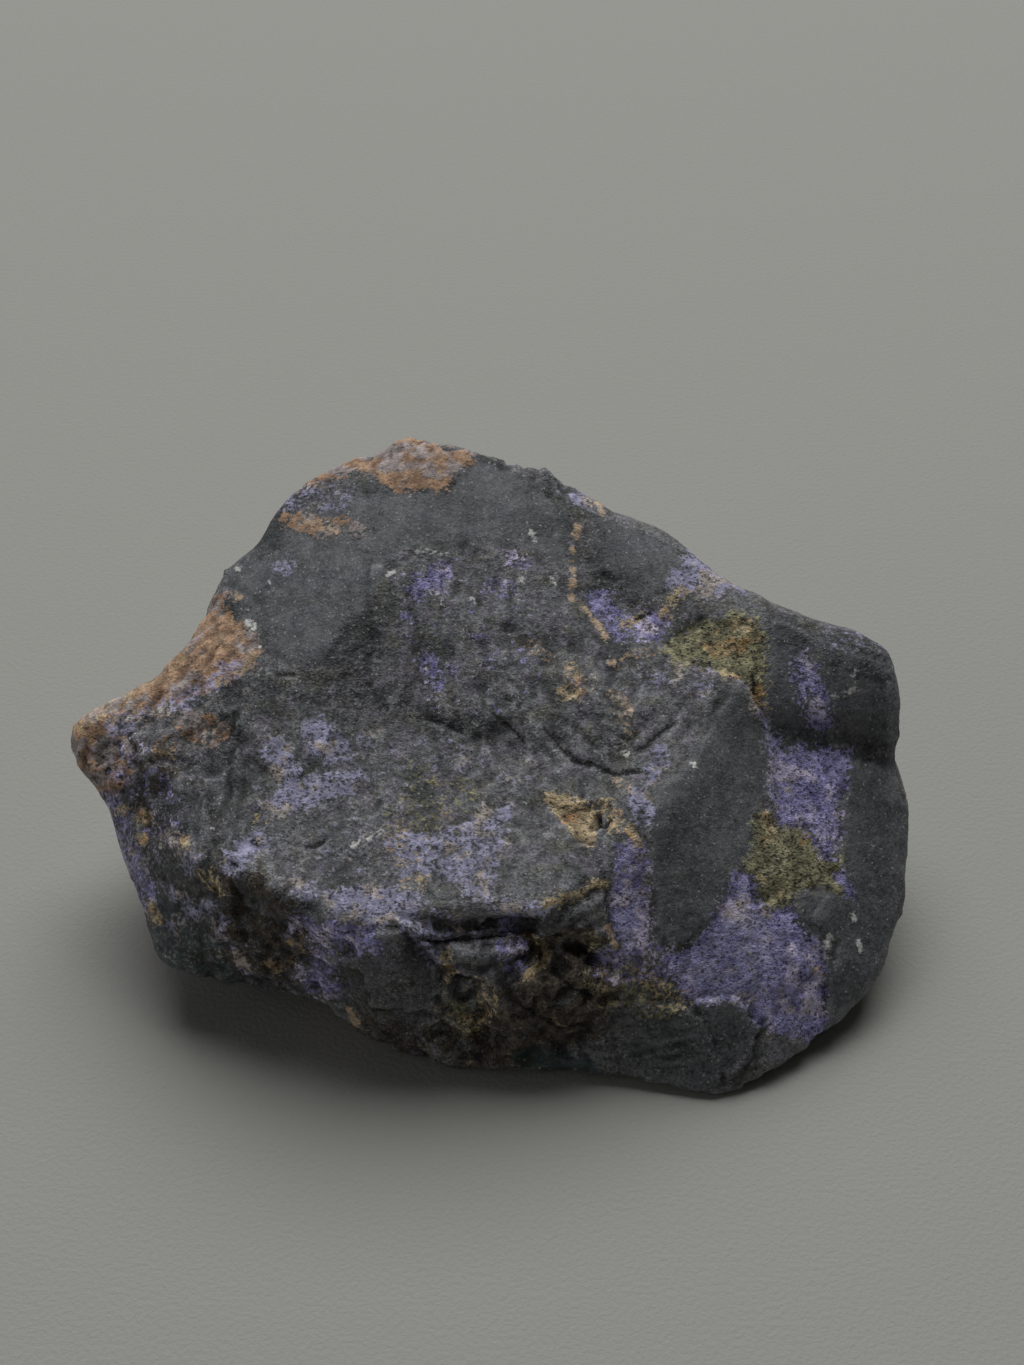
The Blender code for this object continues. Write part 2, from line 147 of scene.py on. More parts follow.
class Tint(Enum):
    """What lies on the rock, named after its mesh attribute."""

    SLATE = "slate"
    BROWN = "brown"
    TEAL = "teal"
    RUST = "rust"
    MOSS = "moss"
    VIOLET = "violet"
    LILAC = "lilac"
    OCHRE = "ochre"
    TAN = "tan"
    CHALK = "chalk"
    # dark stains, and painted shade on the front faces, under the rims, in the creases and on the
    # top and back
    STAIN_AND_SHADE = "stain"
    CRACK = "crack"


@dataclass(frozen=True)
class Drawing:
    """The plane that the seen side is laid out on, in front of the eye.

    Attributes:
        tilt: how far the line of sight comes down from the horizontal, in degrees.
        eye_distance: from the eye to the middle of the plane.
        centre: the point in space at the middle of the plane.
        axis: that point's place on the drawing.
    """

    tilt: float = 42.0
    eye_distance: float = 250.0
    centre: Spot = (2.142, 5.274, 20.6)
    axis: Place = (1.2, 1.75)

    def towards(self) -> np.ndarray:
        """The direction from the plane to the eye."""
        tilt = math.radians(self.tilt)
        return np.array((0.0, -math.cos(tilt), math.sin(tilt)))

    def upwards(self) -> np.ndarray:
        """The direction up the plane."""
        tilt = math.radians(self.tilt)
        return np.array((0.0, math.sin(tilt), math.cos(tilt)))

    def eye(self) -> np.ndarray:
        """The point in space that all lines of sight meet at."""
        return np.array(self.centre) + self.eye_distance * self.towards()

    def places(self, points: np.ndarray) -> np.ndarray:
        """Where points in space are seen on the drawing.

        Args:
            points: points in space, one a row.

        Returns:
            Their places across and up the drawing, one a row.
        """
        offset = points - np.array(self.centre)
        scale = 1 - (offset @ self.towards()) / self.eye_distance
        flat = np.stack((offset[:, 0], offset @ self.upwards()), axis=1)
        return np.array(self.axis) + flat / scale[:, None]


@dataclass(frozen=True)
class Patch:
    """A patch or a streak on the drawing.

    Attributes:
        points: its outline, or the middle line of a streak.
        width: half the width of a streak, or 0 for a patch.
        depth: the most that its field rises to inside. A low one lets the rock show through.
    """

    points: tuple[Place, ...]
    width: float = 0.0
    depth: float = REACH

    def around(self, places: np.ndarray) -> tuple[np.ndarray, np.ndarray]:
        """Where each place lies from the nearest part of the outline or middle line.

        Args:
            places: places on the drawing, one a row.

        Returns:
            The distance to it, and on which side of it the place lies, as -1 or 1.
        """
        corners = np.array(self.points)
        closed = self.width == 0 or len(corners) == 1
        ends = np.roll(corners, -1, axis=0) if closed else corners[1:]
        starts = corners if closed else corners[:-1]
        gap = np.full(len(places), np.inf)
        side = np.ones(len(places))
        for start, end in zip(starts, ends):
            along = end - start
            offset = places - start
            share = np.clip(offset @ along / max(along @ along, TINY), 0, 1)
            found = np.linalg.norm(offset - share[:, None] * along, axis=1)
            turn = along[0] * offset[:, 1] - along[1] * offset[:, 0]
            side = np.where(found < gap, np.where(turn < 0, -1, 1), side)
            gap = np.minimum(gap, found)
        return gap, side

    def inside(self, places: np.ndarray) -> np.ndarray:
        """Tell which places lie inside the outline.

        Args:
            places: places on the drawing, one a row.

        Returns:
            Whether each lies inside.
        """
        found = np.zeros(len(places), bool)
        corners = np.array(self.points)
        for start, end in zip(corners, np.roll(corners, -1, axis=0)):
            crossed = (start[1] > places[:, 1]) != (end[1] > places[:, 1])
            rise = end[1] - start[1] or 1.0
            share = (places[:, 1] - start[1]) / rise
            found ^= crossed & (places[:, 0] < start[0] + share * (end[0] - start[0]))
        return found

    def field(self, places: np.ndarray) -> np.ndarray:
        """How far inside the patch each place lies, and below zero outside it.

        Args:
            places: places on the drawing, one a row.

        Returns:
            The distance from the patch's edge, in millimetres, up to its depth.
        """
        gap = self.around(places)[0]
        found = self.width - gap if self.width else np.where(self.inside(places), gap, -gap)
        return np.minimum(found, self.depth)


def area(*points: Place, depth: float = REACH) -> Patch:
    """A filled patch with this outline."""
    return Patch(points, depth=depth)


def streak(width: float, *points: Place, depth: float = REACH) -> Patch:
    """A streak along these points, or a dot, with half this width on each side."""
    return Patch(points, width, depth)


def put(name: str, data: bpy.types.ID) -> bpy.types.Object:
    """Put a new object into the scene.

    Args:
        name: the object's name.
        data: its mesh, light or camera.

    Returns:
        The new object.
    """
    made = bpy.data.objects.new(name, data)
    bpy.context.scene.collection.objects.link(made)
    return made


def mesh_of(form: bmesh.types.BMesh, name: str) -> bpy.types.Mesh:
    """Turn a form into a mesh.

    Args:
        form: the form, which is used up.
        name: the mesh's name.

    Returns:
        The new mesh.
    """
    mesh = bpy.data.meshes.new(name)
    form.to_mesh(mesh)
    form.free()
    return mesh


# The three-cornered slab in the middle.
SLAB: tuple[Place, ...] = (
    (23.3, 1.7), (25.3, 0.4), (26.8, -3.5), (27.2, -8.5), (25, -11.5), (24.5, -17), (22.3, -20.4),
    (19.5, -23.4), (17, -25), (15.4, -23.5), (15, -12), (15.6, -8.9), (17.5, -7.2), (18.8, -5.9),
    (20.4, -3.5), (21.4, -1.3),
)

MARKINGS: dict[Tint, tuple[Patch, ...]] = {
    Tint.SLATE: (
        # upper left slab, scoop below it
        area((-27.5, 12), (-22, 19.6), (-14, 20), (-11.3, 13.6), (-13, 9.5), (-17.5, 4.5),
             (-20.5, 3), (-25, 6)),
        area((-14, 20.5), (-5, 20.6), (-2.6, 24), (4, 21), (7, 18.4), (6.4, 13.6), (3.6, 14.6),
             (0, 15.4), (-9, 15.2), (-11.3, 13.6)),
        area((-31.6, -14.5), (-30.5, -7), (-27.5, -4), (-26, -12), (-27.4, -16), depth=-0.1),
        area(*SLAB),
        # the right slab and the lobe above it
        area((34.5, -5.2), (39, -6), (41, -12), (41, -21), (39.4, -27.2), (36, -31), (32.4, -34.5),
             (32.9, -27), (33.2, -24.5), (30.8, -22), (30, -19.8), (33, -19), (34.9, -19.4),
             (34.4, -13)),
        area((27, 8.8), (31, 7), (39, 4), (40.5, -1), (39, -5.2), (36.5, -4.6), (27.2, -3.4),
             (26.8, 3), depth=1.6),
        # plates at the front tip
        area((10.8, -30.4), (18.4, -30.8), (21.4, -34.5), (22.4, -38), (21.6, -40), (13.5, -38),
             (11.2, -34)),
        area((19.8, -30.4), (24.2, -29.9), (26.2, -32.6), (25, -34.5), (22.8, -37), (21.4, -34.5)),
        area((-13.8, -25.4), (-9, -23.8), (-6, -27.4), (-6.4, -31.5), (-12.5, -30.5), depth=0.0),
        area((9.0, 18.6), (17, 15.4), (22, 11.6), (18, 11.4), (12.8, 10.8), (9, 12.6), depth=1.0),
    ),
    Tint.BROWN: (
        area((1.5, -23.4), (9, -22.6), (11.2, -26.4), (11.4, -30), (9.5, -33.5), (4, -36.4),
             (-2, -36.8), (-4.6, -33.4), (-0.6, -30.4), (1.6, -27.4), depth=0.8),
        area((-28.5, -17), (-24, -17.4), (-20.5, -21), (-19.5, -25), (-22, -28), (-26.5, -27),
             (-28, -22), depth=0.15),
        area((-42.4, -6.6), (-39, -5.2), (-33, -4), (-32.5, -7), (-37, -10.5), (-41, -9),
             depth=-0.2),
        streak(1.6, (-13, -32.6), (-8, -34.4), (-2, -36.2), depth=0.1),
    ),
    Tint.TEAL: (
        area((-34.8, -19.2), (-32.2, -19.7), (-31.4, -21), (-33.4, -21.8), (-34.9, -21)),
        area((-34.6, -22.8), (-30, -23.2), (-26.5, -24.8), (-26.2, -27.6), (-31, -28),
             (-34.4, -25.6), depth=0.0),
        streak(1.1, (2.6, -35.8), (5.6, -36.2), (8.8, -36.6)),
    ),
    Tint.RUST: (
        # the slope at the left end
        area((-43.4, -3.0), (-42.2, -1.6), (-38, 1.0), (-35, 3.4), (-31.5, 6.6), (-29.4, 9.6),
             (-27.6, 10.2), (-26.8, 8.2), (-24.2, 6.4), (-23.6, 4.4), (-26.5, 2.2), (-29.5, 0.9),
             (-33, -0.9), (-36.5, -1.6), (-40, -3.6), (-41.6, -5.6)),
        area((-43.8, -4.0), (-40.5, -2.6), (-37.5, -3.4), (-36, -6.4), (-38, -9.4), (-42.4, -8.8),
             depth=0.25),
        # the patch at the top, and the streak to its left
        area((-15.5, 24.2), (-12.5, 25.0), (-8, 25.5), (-3.6, 24.7), (-3, 23.8), (-4.8, 22.2),
             (-5, 21), (-10.5, 20.8), (-12.2, 21.8), (-12.8, 22.8), (-16, 22.2), (-18.2, 21),
             (-20, 20.3), (-18.6, 21.8)),
        streak(0.8, (-21.0, 17.8), (-18, 17.1), (-14.2, 17.2), depth=0.15),
        streak(0.7, (-27.9, 10.0)), streak(1.3, (-31.4, -2.2), (-28.6, -3.2), depth=0.1),
    ),
    Tint.MOSS: (
        area((16.5, 5.8), (18.8, 7.3), (20.3, 8.1), (23.2, 8.6), (25.9, 8.1), (26.6, 6),
             (26.7, 1.8), (26.3, -1.7), (25.5, -0.5), (25.1, 1.8), (23.6, 2.7), (21.7, 2.7),
             (19.7, 3.1), (17.1, 3.5), (16.3, 4.8)),
        area((25.1, -11.5), (27.8, -11.1), (28.2, -12.3), (31.2, -12.5), (32, -14.6),
             (33.9, -15.9), (34.1, -17.7), (34.7, -19.2), (33.1, -19), (32.4, -18.6),
             (29.3, -19.2), (28.9, -21.1), (25.9, -20.7), (25.5, -17.7), (24.3, -16.7),
             (25.3, -13.8)),
        streak(0.9, (9.6, -24.4), (10.4, -25.8), depth=0.3),
        streak(1.5, (9.4, -28.4), (13, -29.2), (16.4, -30), depth=-0.15),
        streak(1.4, (-5, -31.4), (-3, -32.6), depth=0.1),
        streak(1.4, (-8.3, -7.1), (-7.4, -9.4), (-10, -12.4), depth=-0.3),
        streak(1.6, (-6.8, -10.5), (-3.4, -9.7), depth=-0.3),
        streak(1.2, (-6.4, -13), (-4.6, -16.4), depth=-0.35),
    ),
    Tint.VIOLET: (
        # in the bowl
        area((-9.6, 11.4), (-7.6, 12.9), (-4.8, 14), (-4.6, 12.6), (-6.6, 11.0), (-8.6, 10.4),
             depth=0.8),
        area((-10, 12), (-3, 13), (3, 9.5), (3.6, 2), (-1, -1), (-7, -1), (-8.5, 5), depth=-0.55),
        streak(0.8, (-7, 3.6), (-6.6, 1.8), depth=0.1),
        streak(0.6, (-0.2, 11.4), (0.9, 10.8), depth=0.2),
        streak(0.6, (1.2, 14.2), (2.2, 13.8), depth=0.1),
        # the band across the back facet
        streak(1.2, (9.8, 9.6), (12.2, 7.4), (15.4, 7.6), depth=0.3),
        # under the lobe, on it, and the wide granular slope
        area((27.2, -3), (28.5, -5.3), (29.3, -4.8), (33.1, -4.6), (35.2, -5.3), (34.3, -8.6),
             (34.1, -12.4), (33.3, -15.8), (32, -15.5), (31.2, -12.8), (28.2, -12.4),
             (27.8, -10.5), (27.2, -8)),
        streak(1.2, (30.4, 3.6), (31.2, 0.6), (32, -1.8), depth=0.25),
        area((23.2, -17.3), (25.5, -17.7), (26.2, -21.5), (29.3, -20.7), (29.9, -22.2),
             (32.4, -25.3), (32.6, -27.2), (32.4, -32.6), (31.2, -34), (26.2, -32.9), (24.3, -30),
             (19, -30.5), (17.4, -27.2), (18.6, -25.3), (20.7, -23.4), (22, -20.7)),
        streak(0.4, (33.8, -17.4), (34.8, -19.6), depth=0.2),
        # the strip left of the three-cornered slab
        area((11.6, -14.8), (13.8, -13.9), (14.8, -15.9), (15.2, -20.1), (15, -24.2),
             (11.8, -24.2), (10.6, -21.2), (11.6, -18.7)),
        streak(1.5, (10.5, -26.6), (15, -25.9), (19, -27.4), depth=0.1),
        # below the ledge and on the left front
        area((-17, -21.8), (-12.5, -22.8), (-12.2, -25), (-15.5, -25.2), (-17.8, -24), depth=0.6),
        streak(1.1, (-20.4, -22.6), (-18, -24), (-17.4, -26.5), depth=0.1),
        streak(0.9, (-19.6, -27.5), (-17, -29), depth=0.3),
        streak(1.2, (0.6, -22.8), (1.4, -26), depth=0.0),
        streak(1.8, (-37.4, -5.6), (-35, -9), (-33.5, -12), depth=-0.35),
        streak(1.1, (-39.2, -10.5), (-37.6, -14.5), (-36.2, -18.6), (-35.2, -20.6), depth=0.0),
    ),
    Tint.LILAC: (
        # paler parts of the purple slopes
        area((18, -26.6), (21.6, -23.6), (24.4, -18.6), (26.4, -21.4), (27.4, -26), (25, -31),
             (19.6, -29.8), depth=0.1),
        area((26.6, -22.6), (31.4, -24), (32, -30.6), (26, -31.8), depth=-0.22),
        streak(1.6, (29.4, -31), (26, -30.4), depth=-0.2),
        streak(1.2, (27.9, -5.8), (28.4, -9.4), depth=-0.2),
        streak(1.1, (13, -15.5), (13.6, -19), (13.2, -23), depth=-0.1),
        streak(0.9, (-21.9, 19.8), (-15.9, 19.9), depth=-0.1),
        streak(0.8, (-38.8, -2.8), (-34, -1.2), (-29.8, 0.9), (-26.2, 3.2), depth=0.12),
        streak(0.8, (-21.3, 13.3), depth=0.2),
        # along the ledge
        area((-23.8, -10.8), (-23.2, -9.8), (-21, -8.2), (-18.8, -7.6), (-16.3, -7.4),
             (-13.8, -7.0), (-14.4, -9), (-17, -9.8), (-20, -10.9), (-22.5, -11.7), depth=0.7),
        streak(1.2, (-22.4, -5), (-21, -7.6), depth=0.3),
        streak(1.4, (-18.4, -3.2), (-16.6, -5), depth=0.25),
        streak(1.1, (-26.8, -16.4), (-25.2, -15.2), (-24, -14.2), depth=0.6),
        area((-18, -18.9), (-12, -18.6), (-7.6, -19.6), (-8.4, -22), (-13, -22.9), (-16.6, -21.4),
             depth=0.8),
        streak(0.6, (-20.6, -18.4), (-18.8, -19.5), depth=0.3),
        area((-11.8, -13.8), (-7, -13.6), (-2.8, -12.2), (-1.5, -10.6), (1.2, -10.2), (0.6, -13),
             (-0.2, -17), (-1, -19.6), (-3.6, -19.6), (-5, -17.6), (-9.4, -18), depth=0.25),
        area((-24, -6), (-18, -4), (-10, -5), (-9, -18), (-17, -18.4), (-24, -14), depth=-0.5),
        streak(0.5, (-2.2, -20.4), (4.5, -20.8), depth=0.15),
        # lilac laid thinly along the crest between the bowl and the ledge, as a painted highlight
        area((-14, -3.4), (-8, -4.2), (-1, -5.2), (5, -7.2), (4, -8.4), (-3, -7), (-13, -5.8),
             depth=-0.4),
        # left face
        streak(0.9, (-38.2, -14.0), (-36, -17.4), depth=0.2),
        streak(0.34, (-33, -18.8), (-31.6, -19.9), (-31, -21.4), (-32.6, -22.7), depth=0.2),
        streak(0.36, (-31, -21.5), (-28.8, -20.3), (-27.9, -21.8), (-27.3, -23.3), (-28.6, -22.4),
               depth=0.2),
        streak(0.5, (-26.2, -24.8), (-25.4, -27), depth=0.2),
        streak(2.0, (-39, -6.5), (-38.5, -11), (-36, -14.5), depth=-0.32),
        streak(0.7, (-33, -13.6), (-31.4, -15.2), (-30.8, -16.6), depth=0.0),
        # recess edges
        streak(0.2, (-8.8, -21.9), (-5.6, -22.3), depth=0.1),
        streak(0.2, (-6.4, -21.5), (-1.8, -22.2), depth=0.1),
        streak(0.35, (-9.7, -22.9), (-8, -24.2), (-6.2, -26.2), depth=0.4),
        streak(0.25, (-8.1, -22.9), (-4.5, -23.4), (-1.6, -23.5), depth=0.3),
        streak(0.2, (-6, -23.9), (-2.4, -24.3), depth=0.2),
        # back edge and back facet
        streak(0.6, (7.6, 20.2), (9.4, 19.9), depth=0.4),
        streak(1.1, (17.8, 12), (21.6, 11.2), depth=0.4),
        streak(0.8, (19, 14), (22, 12.8), (24, 11.6), depth=0.3),
        streak(0.8, (33.4, 6.6), (37.4, 5.4), depth=-0.3),
        streak(1.4, (15.4, 2.4), (20, 2), depth=-0.2),
        # beside the three-cornered slab
        streak(0.3, (25.5, -0.4), (26.6, -3), (27.2, -6.5), (27.3, -9.6), depth=0.3),
        streak(1.0, (13.8, -9.8), (14.4, -11.4), depth=0.5),
        streak(1.0, (15.8, -5.4), (15.3, -7.4), depth=0.5),
        streak(0.8, (26.2, -21), (26.6, -26), depth=0.4),
    ),
    Tint.OCHRE: (
        area((4.2, -9.2), (6.5, -9.4), (7.9, -10.1), (9.6, -10.8), (9.4, -12.4), (9.6, -14.4),
             (8.8, -14.8), (7, -13.2), (5.1, -10.9)),
        streak(0.9, (10.6, -10.8), (11.8, -12.6), depth=0.0),
        streak(0.5, (12.9, -12.8), (13.9, -14.2), depth=0.4),
        streak(0.32, (4.4, -20.5), (7.4, -19.5), (10.4, -18.2), depth=0.3),
        streak(0.7, (-5.5, -25.6), (-4.9, -27.4), depth=0.1),
        streak(0.9, (-1.8, -28.4), (-1.1, -31.0), depth=-0.05),
        streak(1.0, (-2.6, -32.4), (-4.6, -32.4), depth=-0.1),
        area((-6, -27), (-1.2, -27.6), (-0.4, -32), (-5.6, -33.2), depth=-0.38),
        streak(0.4, (2.8, -23.5), (4.6, -24.4), (4.6, -25.8), (2.4, -27.8), depth=0.3),
        streak(0.7, (13, -27.2), (16.6, -28.8), depth=-0.05),
        streak(0.8, (15.6, -29.6), (18.4, -30), depth=-0.15),
        streak(0.6, (-37.9, -11.1), depth=0.2), streak(0.8, (-35.9, -11.6), depth=0.3),
        streak(0.5, (-35.9, -13.9)), streak(0.6, (-31.7, -14.2)),
        streak(0.6, (-34.8, -20.8), (-34.4, -21.7)),
        streak(0.5, (26.6, -11.6), (27.3, -13), depth=0.4), streak(0.35, (28.3, -19.4)),
        streak(0.5, (22.5, 2.6), (23.4, 2.5), depth=0.5),
        streak(0.5, (23.6, 7.6), (24.8, 7.4), depth=0.2),
        streak(0.5, (18.6, 10.8), (17, 9.8), (16.4, 8.4), depth=0.1),
        streak(0.4, (12.6, 7.6), (14, 8.4), depth=0.3),
        streak(1.1, (-10.6, -13.2), (-9.4, -16), (-8.4, -18.2), depth=-0.2),
        streak(0.5, (6.4, 0.9), (8.2, 0.6), depth=0.0),
        streak(0.9, (7, 3), (8.6, 1.6), depth=-0.2), streak(0.25, (-24.2, -11.6), (-23.8, -12)),
        streak(0.8, (-42.4, -2.4), (-38.6, -0.3), (-35.4, 2.0), (-32.4, 4.8), depth=-0.15),
        streak(0.5, (-29.4, -17.4), (-27.6, -19), depth=0.0),
    ),
    Tint.TAN: (
        # the vein down from the back edge
        streak(0.3, (9.8, 19.6), (10.2, 18.8), depth=0.2), streak(0.36, (7.8, 17.2), (7.7, 16.4)),
        streak(0.24, (7.2, 15.2), (7.2, 14.7)), streak(0.22, (7.1, 13.9)),
        streak(0.28, (7.2, 13), (7.2, 12.7)), streak(0.3, (7.2, 11.9), (7.2, 11.3)),
        streak(0.3, (7.1, 10.3), (7.6, 9.9)), streak(0.28, (8.2, 9.3), (9.0, 8.6), depth=0.15),
        streak(0.34, (9.4, 8.0), (9.9, 7.3), (10.5, 6.4)), streak(0.2, (10.9, 3.9), (11.6, 3.4)),
        streak(0.2, (12.1, 3.9)), streak(0.4, (12.9, 4.5), (15.8, 4.8), depth=-0.1),
        streak(0.45, (6.8, 3), (7.8, 2.6), depth=0.0),
        streak(0.5, (11.2, 0.8), (12.8, -0.6), depth=0.0),
        streak(0.6, (12.4, 0.4), (12.7, -3), depth=-0.1),
        streak(0.5, (11.4, -7.9), (12.6, -8.7), depth=0.0),
        # specks beside the bowl and along the rusty crest
        streak(0.7, (3.2, 5.6), (4.4, 4.8), depth=-0.1),
        streak(1.6, (2, 3), (8, 0), (11, -4), depth=-0.42),
        streak(1.0, (-5.4, -13.4), (-4.2, -16), depth=-0.3), streak(0.4, (-26.2, 10.2), depth=0.0),
        streak(0.45, (-24.4, 4.6), (-26.2, 2.6), (-28.2, 1.6), depth=0.0),
        streak(0.5, (-18.9, 17.4), (-16.4, 16.9), depth=-0.05),
        streak(0.5, (-39.4, -1.9), (-34, -1.2), depth=-0.05),
        streak(0.5, (-31, 3.6), (-28, 6.2), depth=-0.1), streak(0.35, (-15, -31), (-14.2, -32.3)),
        streak(0.3, (10.7, -22.6), (11.6, -24.8), depth=0.15), streak(0.28, (31.7, -26.9)),
    ),
    Tint.CHALK: (
        # above the bowl and on the slabs
        streak(0.24, (3.0, 16.8), (3.3, 15.9)), streak(0.24, (-11.2, 12.4), (-10.5, 12.9)),
        streak(0.16, (-9.2, 14.8), (-7.2, 14.9), (-5.5, 14.5), depth=-0.02),
        streak(0.18, (-2.8, 10.2), (-2.5, 9.6)), streak(0.2, (2.1, 12.2), (2.1, 11.7)),
        streak(0.16, (5.1, 12.2), (5.4, 11.7)), streak(0.3, (-26.1, 12.9)),
        streak(0.22, (-23, 11.5)), streak(0.36, (-25.1, 7.6), (-24.6, 7.2), depth=0.1),
        streak(0.22, (12.3, -4.2), (12.9, -4.2)), streak(0.22, (12.3, -5.2), (12.8, -5.2)),
        streak(0.25, (19.3, -6.5), (19.3, -6.9)),
        streak(0.2, (35.5, 3), (35.2, 0.8), (33, 0.2), depth=-0.05), streak(0.22, (-24.0, 5.2)),
        streak(0.18, (-38.6, -2.1), (-36.8, -1.9), depth=0.0),
        streak(0.18, (-34.8, -1.2), (-33.2, -0.8), depth=0.0),
        # on the ledge and the left side
        streak(0.2, (-14.7, -14.6), (-13.2, -13.9), depth=0.3),
        streak(0.16, (-13.2, -13.9), (-11.8, -13.2), depth=0.05), streak(0.14, (-28.8, -12.8)),
        # on the purple slope and the slab beside it
        streak(0.2, (23.8, -21.9)), streak(0.3, (32.9, -23.6), (32.8, -24.8)),
        streak(0.18, (32.6, -25.6)), streak(0.24, (35.2, -21.5), (35.3, -22)),
        streak(0.16, (35.7, -24.1), (35.9, -25.2)),
    ),
    Tint.STAIN_AND_SHADE: (
        # the left end and the edge above it: dark stains, and painted shade
        area((-36.5, -8), (-33.5, -8.2), (-31, -9.5), (-30.8, -12.5), (-32.5, -14.2), (-35, -13.6),
             (-36.4, -11), depth=0.5),
        area((-29.2, -6), (-23.6, -5.4), (-23.4, -12), (-27.2, -16.4), depth=-0.14),
        area((-22, -9.6), (-12, -9), (-10, -12), (-14, -17.4), (-22, -15.6), depth=-0.4),
        streak(0.8, (-26.8, 1.0), (-27.2, -1.5), (-26.4, -4.0), depth=0.1),
        streak(0.6, (-34.8, -3.8), (-33.0, -5.4), depth=0.1),
        area((-31.6, -4.6), (-27.4, -3), (-25.4, -8), (-26.4, -15.6), (-30, -14.6), depth=0.05),
        # the front left and the plates at the foot: painted shade that darkens the faces turned to
        # the front
        area((-38, -12.6), (-31.4, -15.8), (-24, -19.4), (-18.5, -22.4), (-17, -30), (-36, -28),
             depth=0.15),
        area((-14.4, -24.2), (-9, -22.8), (-6, -27), (-6.4, -31.6), (-13.4, -31), depth=-0.2),
        area((10.6, -30.6), (19, -31), (25.6, -33), (22.6, -40), (10.6, -38), depth=-0.25),
        area((-24.8, 13.8), (-24.2, 18.6), (-21.2, 22.2), (-18.2, 20.9), (-20.6, 18.4),
             (-21.8, 15.2), depth=0.9),
        streak(0.5, (-12.6, 26.2), (-15.4, 24.8), (-18.4, 22.8), depth=0.1),
        streak(1.0, (-27.2, 9.4), (-25.6, 7.8), (-23.4, 6.4), depth=0.1),
        # left of the bowl: dark chips; along the foot of the bowl and in its hollow: painted shade
        # in the crease
        area((-15.8, 7.4), (-12.6, 10.4), (-11.8, 5), (-13.2, 0.8), (-17.6, 2.6), depth=0.0),
        area((-25.4, 4), (-20.4, 3.6), (-16, 2.6), (-13.4, 0.6), (-14.6, -2), (-19, -2.4),
             (-24.4, -1), depth=-0.22),
        area((-2, 6), (2, 7), (4.4, 2), (1, -1), (-4, -1.2), (-3, 3), depth=-0.38),
        area((-10.6, -0.2), (-6, -0.9), (-1.2, -2.0), (-1.6, -4.0), (-7, -2.9), depth=-0.1),
        # the back facet and the hollow at its right
        streak(0.55, (9.9, 12.9), (10.8, 12.1), (11.8, 12.0), depth=0.1),
        streak(0.35, (10.6, 10.5), (12.4, 10.0), (14.4, 9.6), depth=0.0),
        streak(0.6, (23.8, 5.4), (24.6, 3.8), depth=0.1),
        streak(0.5, (20.4, 6.2), (22.4, 6.6), depth=-0.1),
        # painted shade under the rim of the ledge and the lobe, on the rim behind the lobe and on
        # the back, and darker spots at the front foot
        streak(0.9, (-27.4, -17.7), (-23, -20.0), (-19.6, -21.2), (-18.4, -23.0), depth=0.15),
        streak(0.4, (1.6, -21.8), (4.6, -21.8), (6.6, -20.8), depth=0.2),
        streak(1.0, (28, -3.6), (33, -4.2), (38, -5), depth=-0.1),
        area((27.4, 9), (33, 7), (40, 5), (40.4, 1.6), (34, 3.6), (27.6, 5.4), depth=-0.12),
        area((-2, 25), (8, 22), (12, 17.6), (9, 13), (6.6, 13.8), (7, 18.4), (4, 21.4),
             depth=-0.28),
        streak(0.8, (5.2, -26.4), (8.8, -28.4), depth=-0.1), streak(1.0, (-3.8, -28.4), depth=0.0),
    ),
    Tint.CRACK: (
        streak(0.2, (10.5, -6.9), (11.4, -7.4), (12.6, -7.1), (14, -7.1)),
        streak(0.24, (13.6, -5), (14.6, -4.6), (15.2, -3.8), (17.3, -2.3)),
        streak(0.16, (-7.4, -1.7), (-5.6, -2.3), (-3.8, -3.2), depth=0.0),
        streak(0.15, (-0.6, -1.4), (1.2, -2.8), (2.4, -4.2), depth=0.0),
        streak(0.14, (4.6, -3.0), (6.2, -5.0), (7.4, -6.2), depth=0.0),
        streak(0.16, (6.6, -5.0), (7.6, -6.1), (9, -6.6)), streak(0.14, (9, -6.2), (10.4, -7)),
        streak(0.12, (-19.3, -14.7), (-18.2, -14.5), (-17.6, -14.0)),
        streak(0.16, (10.3, 12.5), (11.4, 12.0), depth=0.0),
        streak(0.14, (13.6, 8.2), (15, 8.7), depth=0.0),
        streak(0.22, (25.4, 2.6), (25.6, 0.8), depth=0.0),
        streak(0.16, (-24.8, -14.1), (-24.1, -14.5)), streak(0.14, (-26.8, -16.4), (-26.2, -16.6)),
        streak(0.35, (-4.5, -27.8), (-3.2, -28.3), (-1.8, -28.2)), streak(0.2, (8.2, -9.7)),
        streak(0.2, (9.6, -11.6), (9.7, -12.3), (10.5, -12.5), (11, -11.9)),
        streak(0.16, (-22.2, 2.4), (-20.6, 2.5), depth=0.1),
        streak(0.35, (-38.1, -4.3), depth=0.1),
        streak(0.16, (5.2, -26.2), (5.6, -27.4), (7.4, -28.8), (9, -29.4)),
        streak(0.16, (2.2, -31), (4.2, -31.8), (6, -32.8), (8.6, -32.2)),
        streak(0.15, (7.6, -24), (8.6, -25.4)),
        streak(0.15, (-8.8, -23.4), (-4, -24.2), (0.4, -23.8), depth=0.0),
    ),
}


@dataclass(frozen=True)
class Scatter:
    """Patches on the hidden sides, spread by a noise pattern.

    Attributes:
        size: about how far apart the patches lie.
        level: how much of the pattern is bare rock, from -1 for none to 1 for all.
        steep: how fast the field rises into a patch, in millimetres.
        place: where in the pattern the patches are taken from.
    """

    size: float
    level: float
    steep: float
    place: Spot


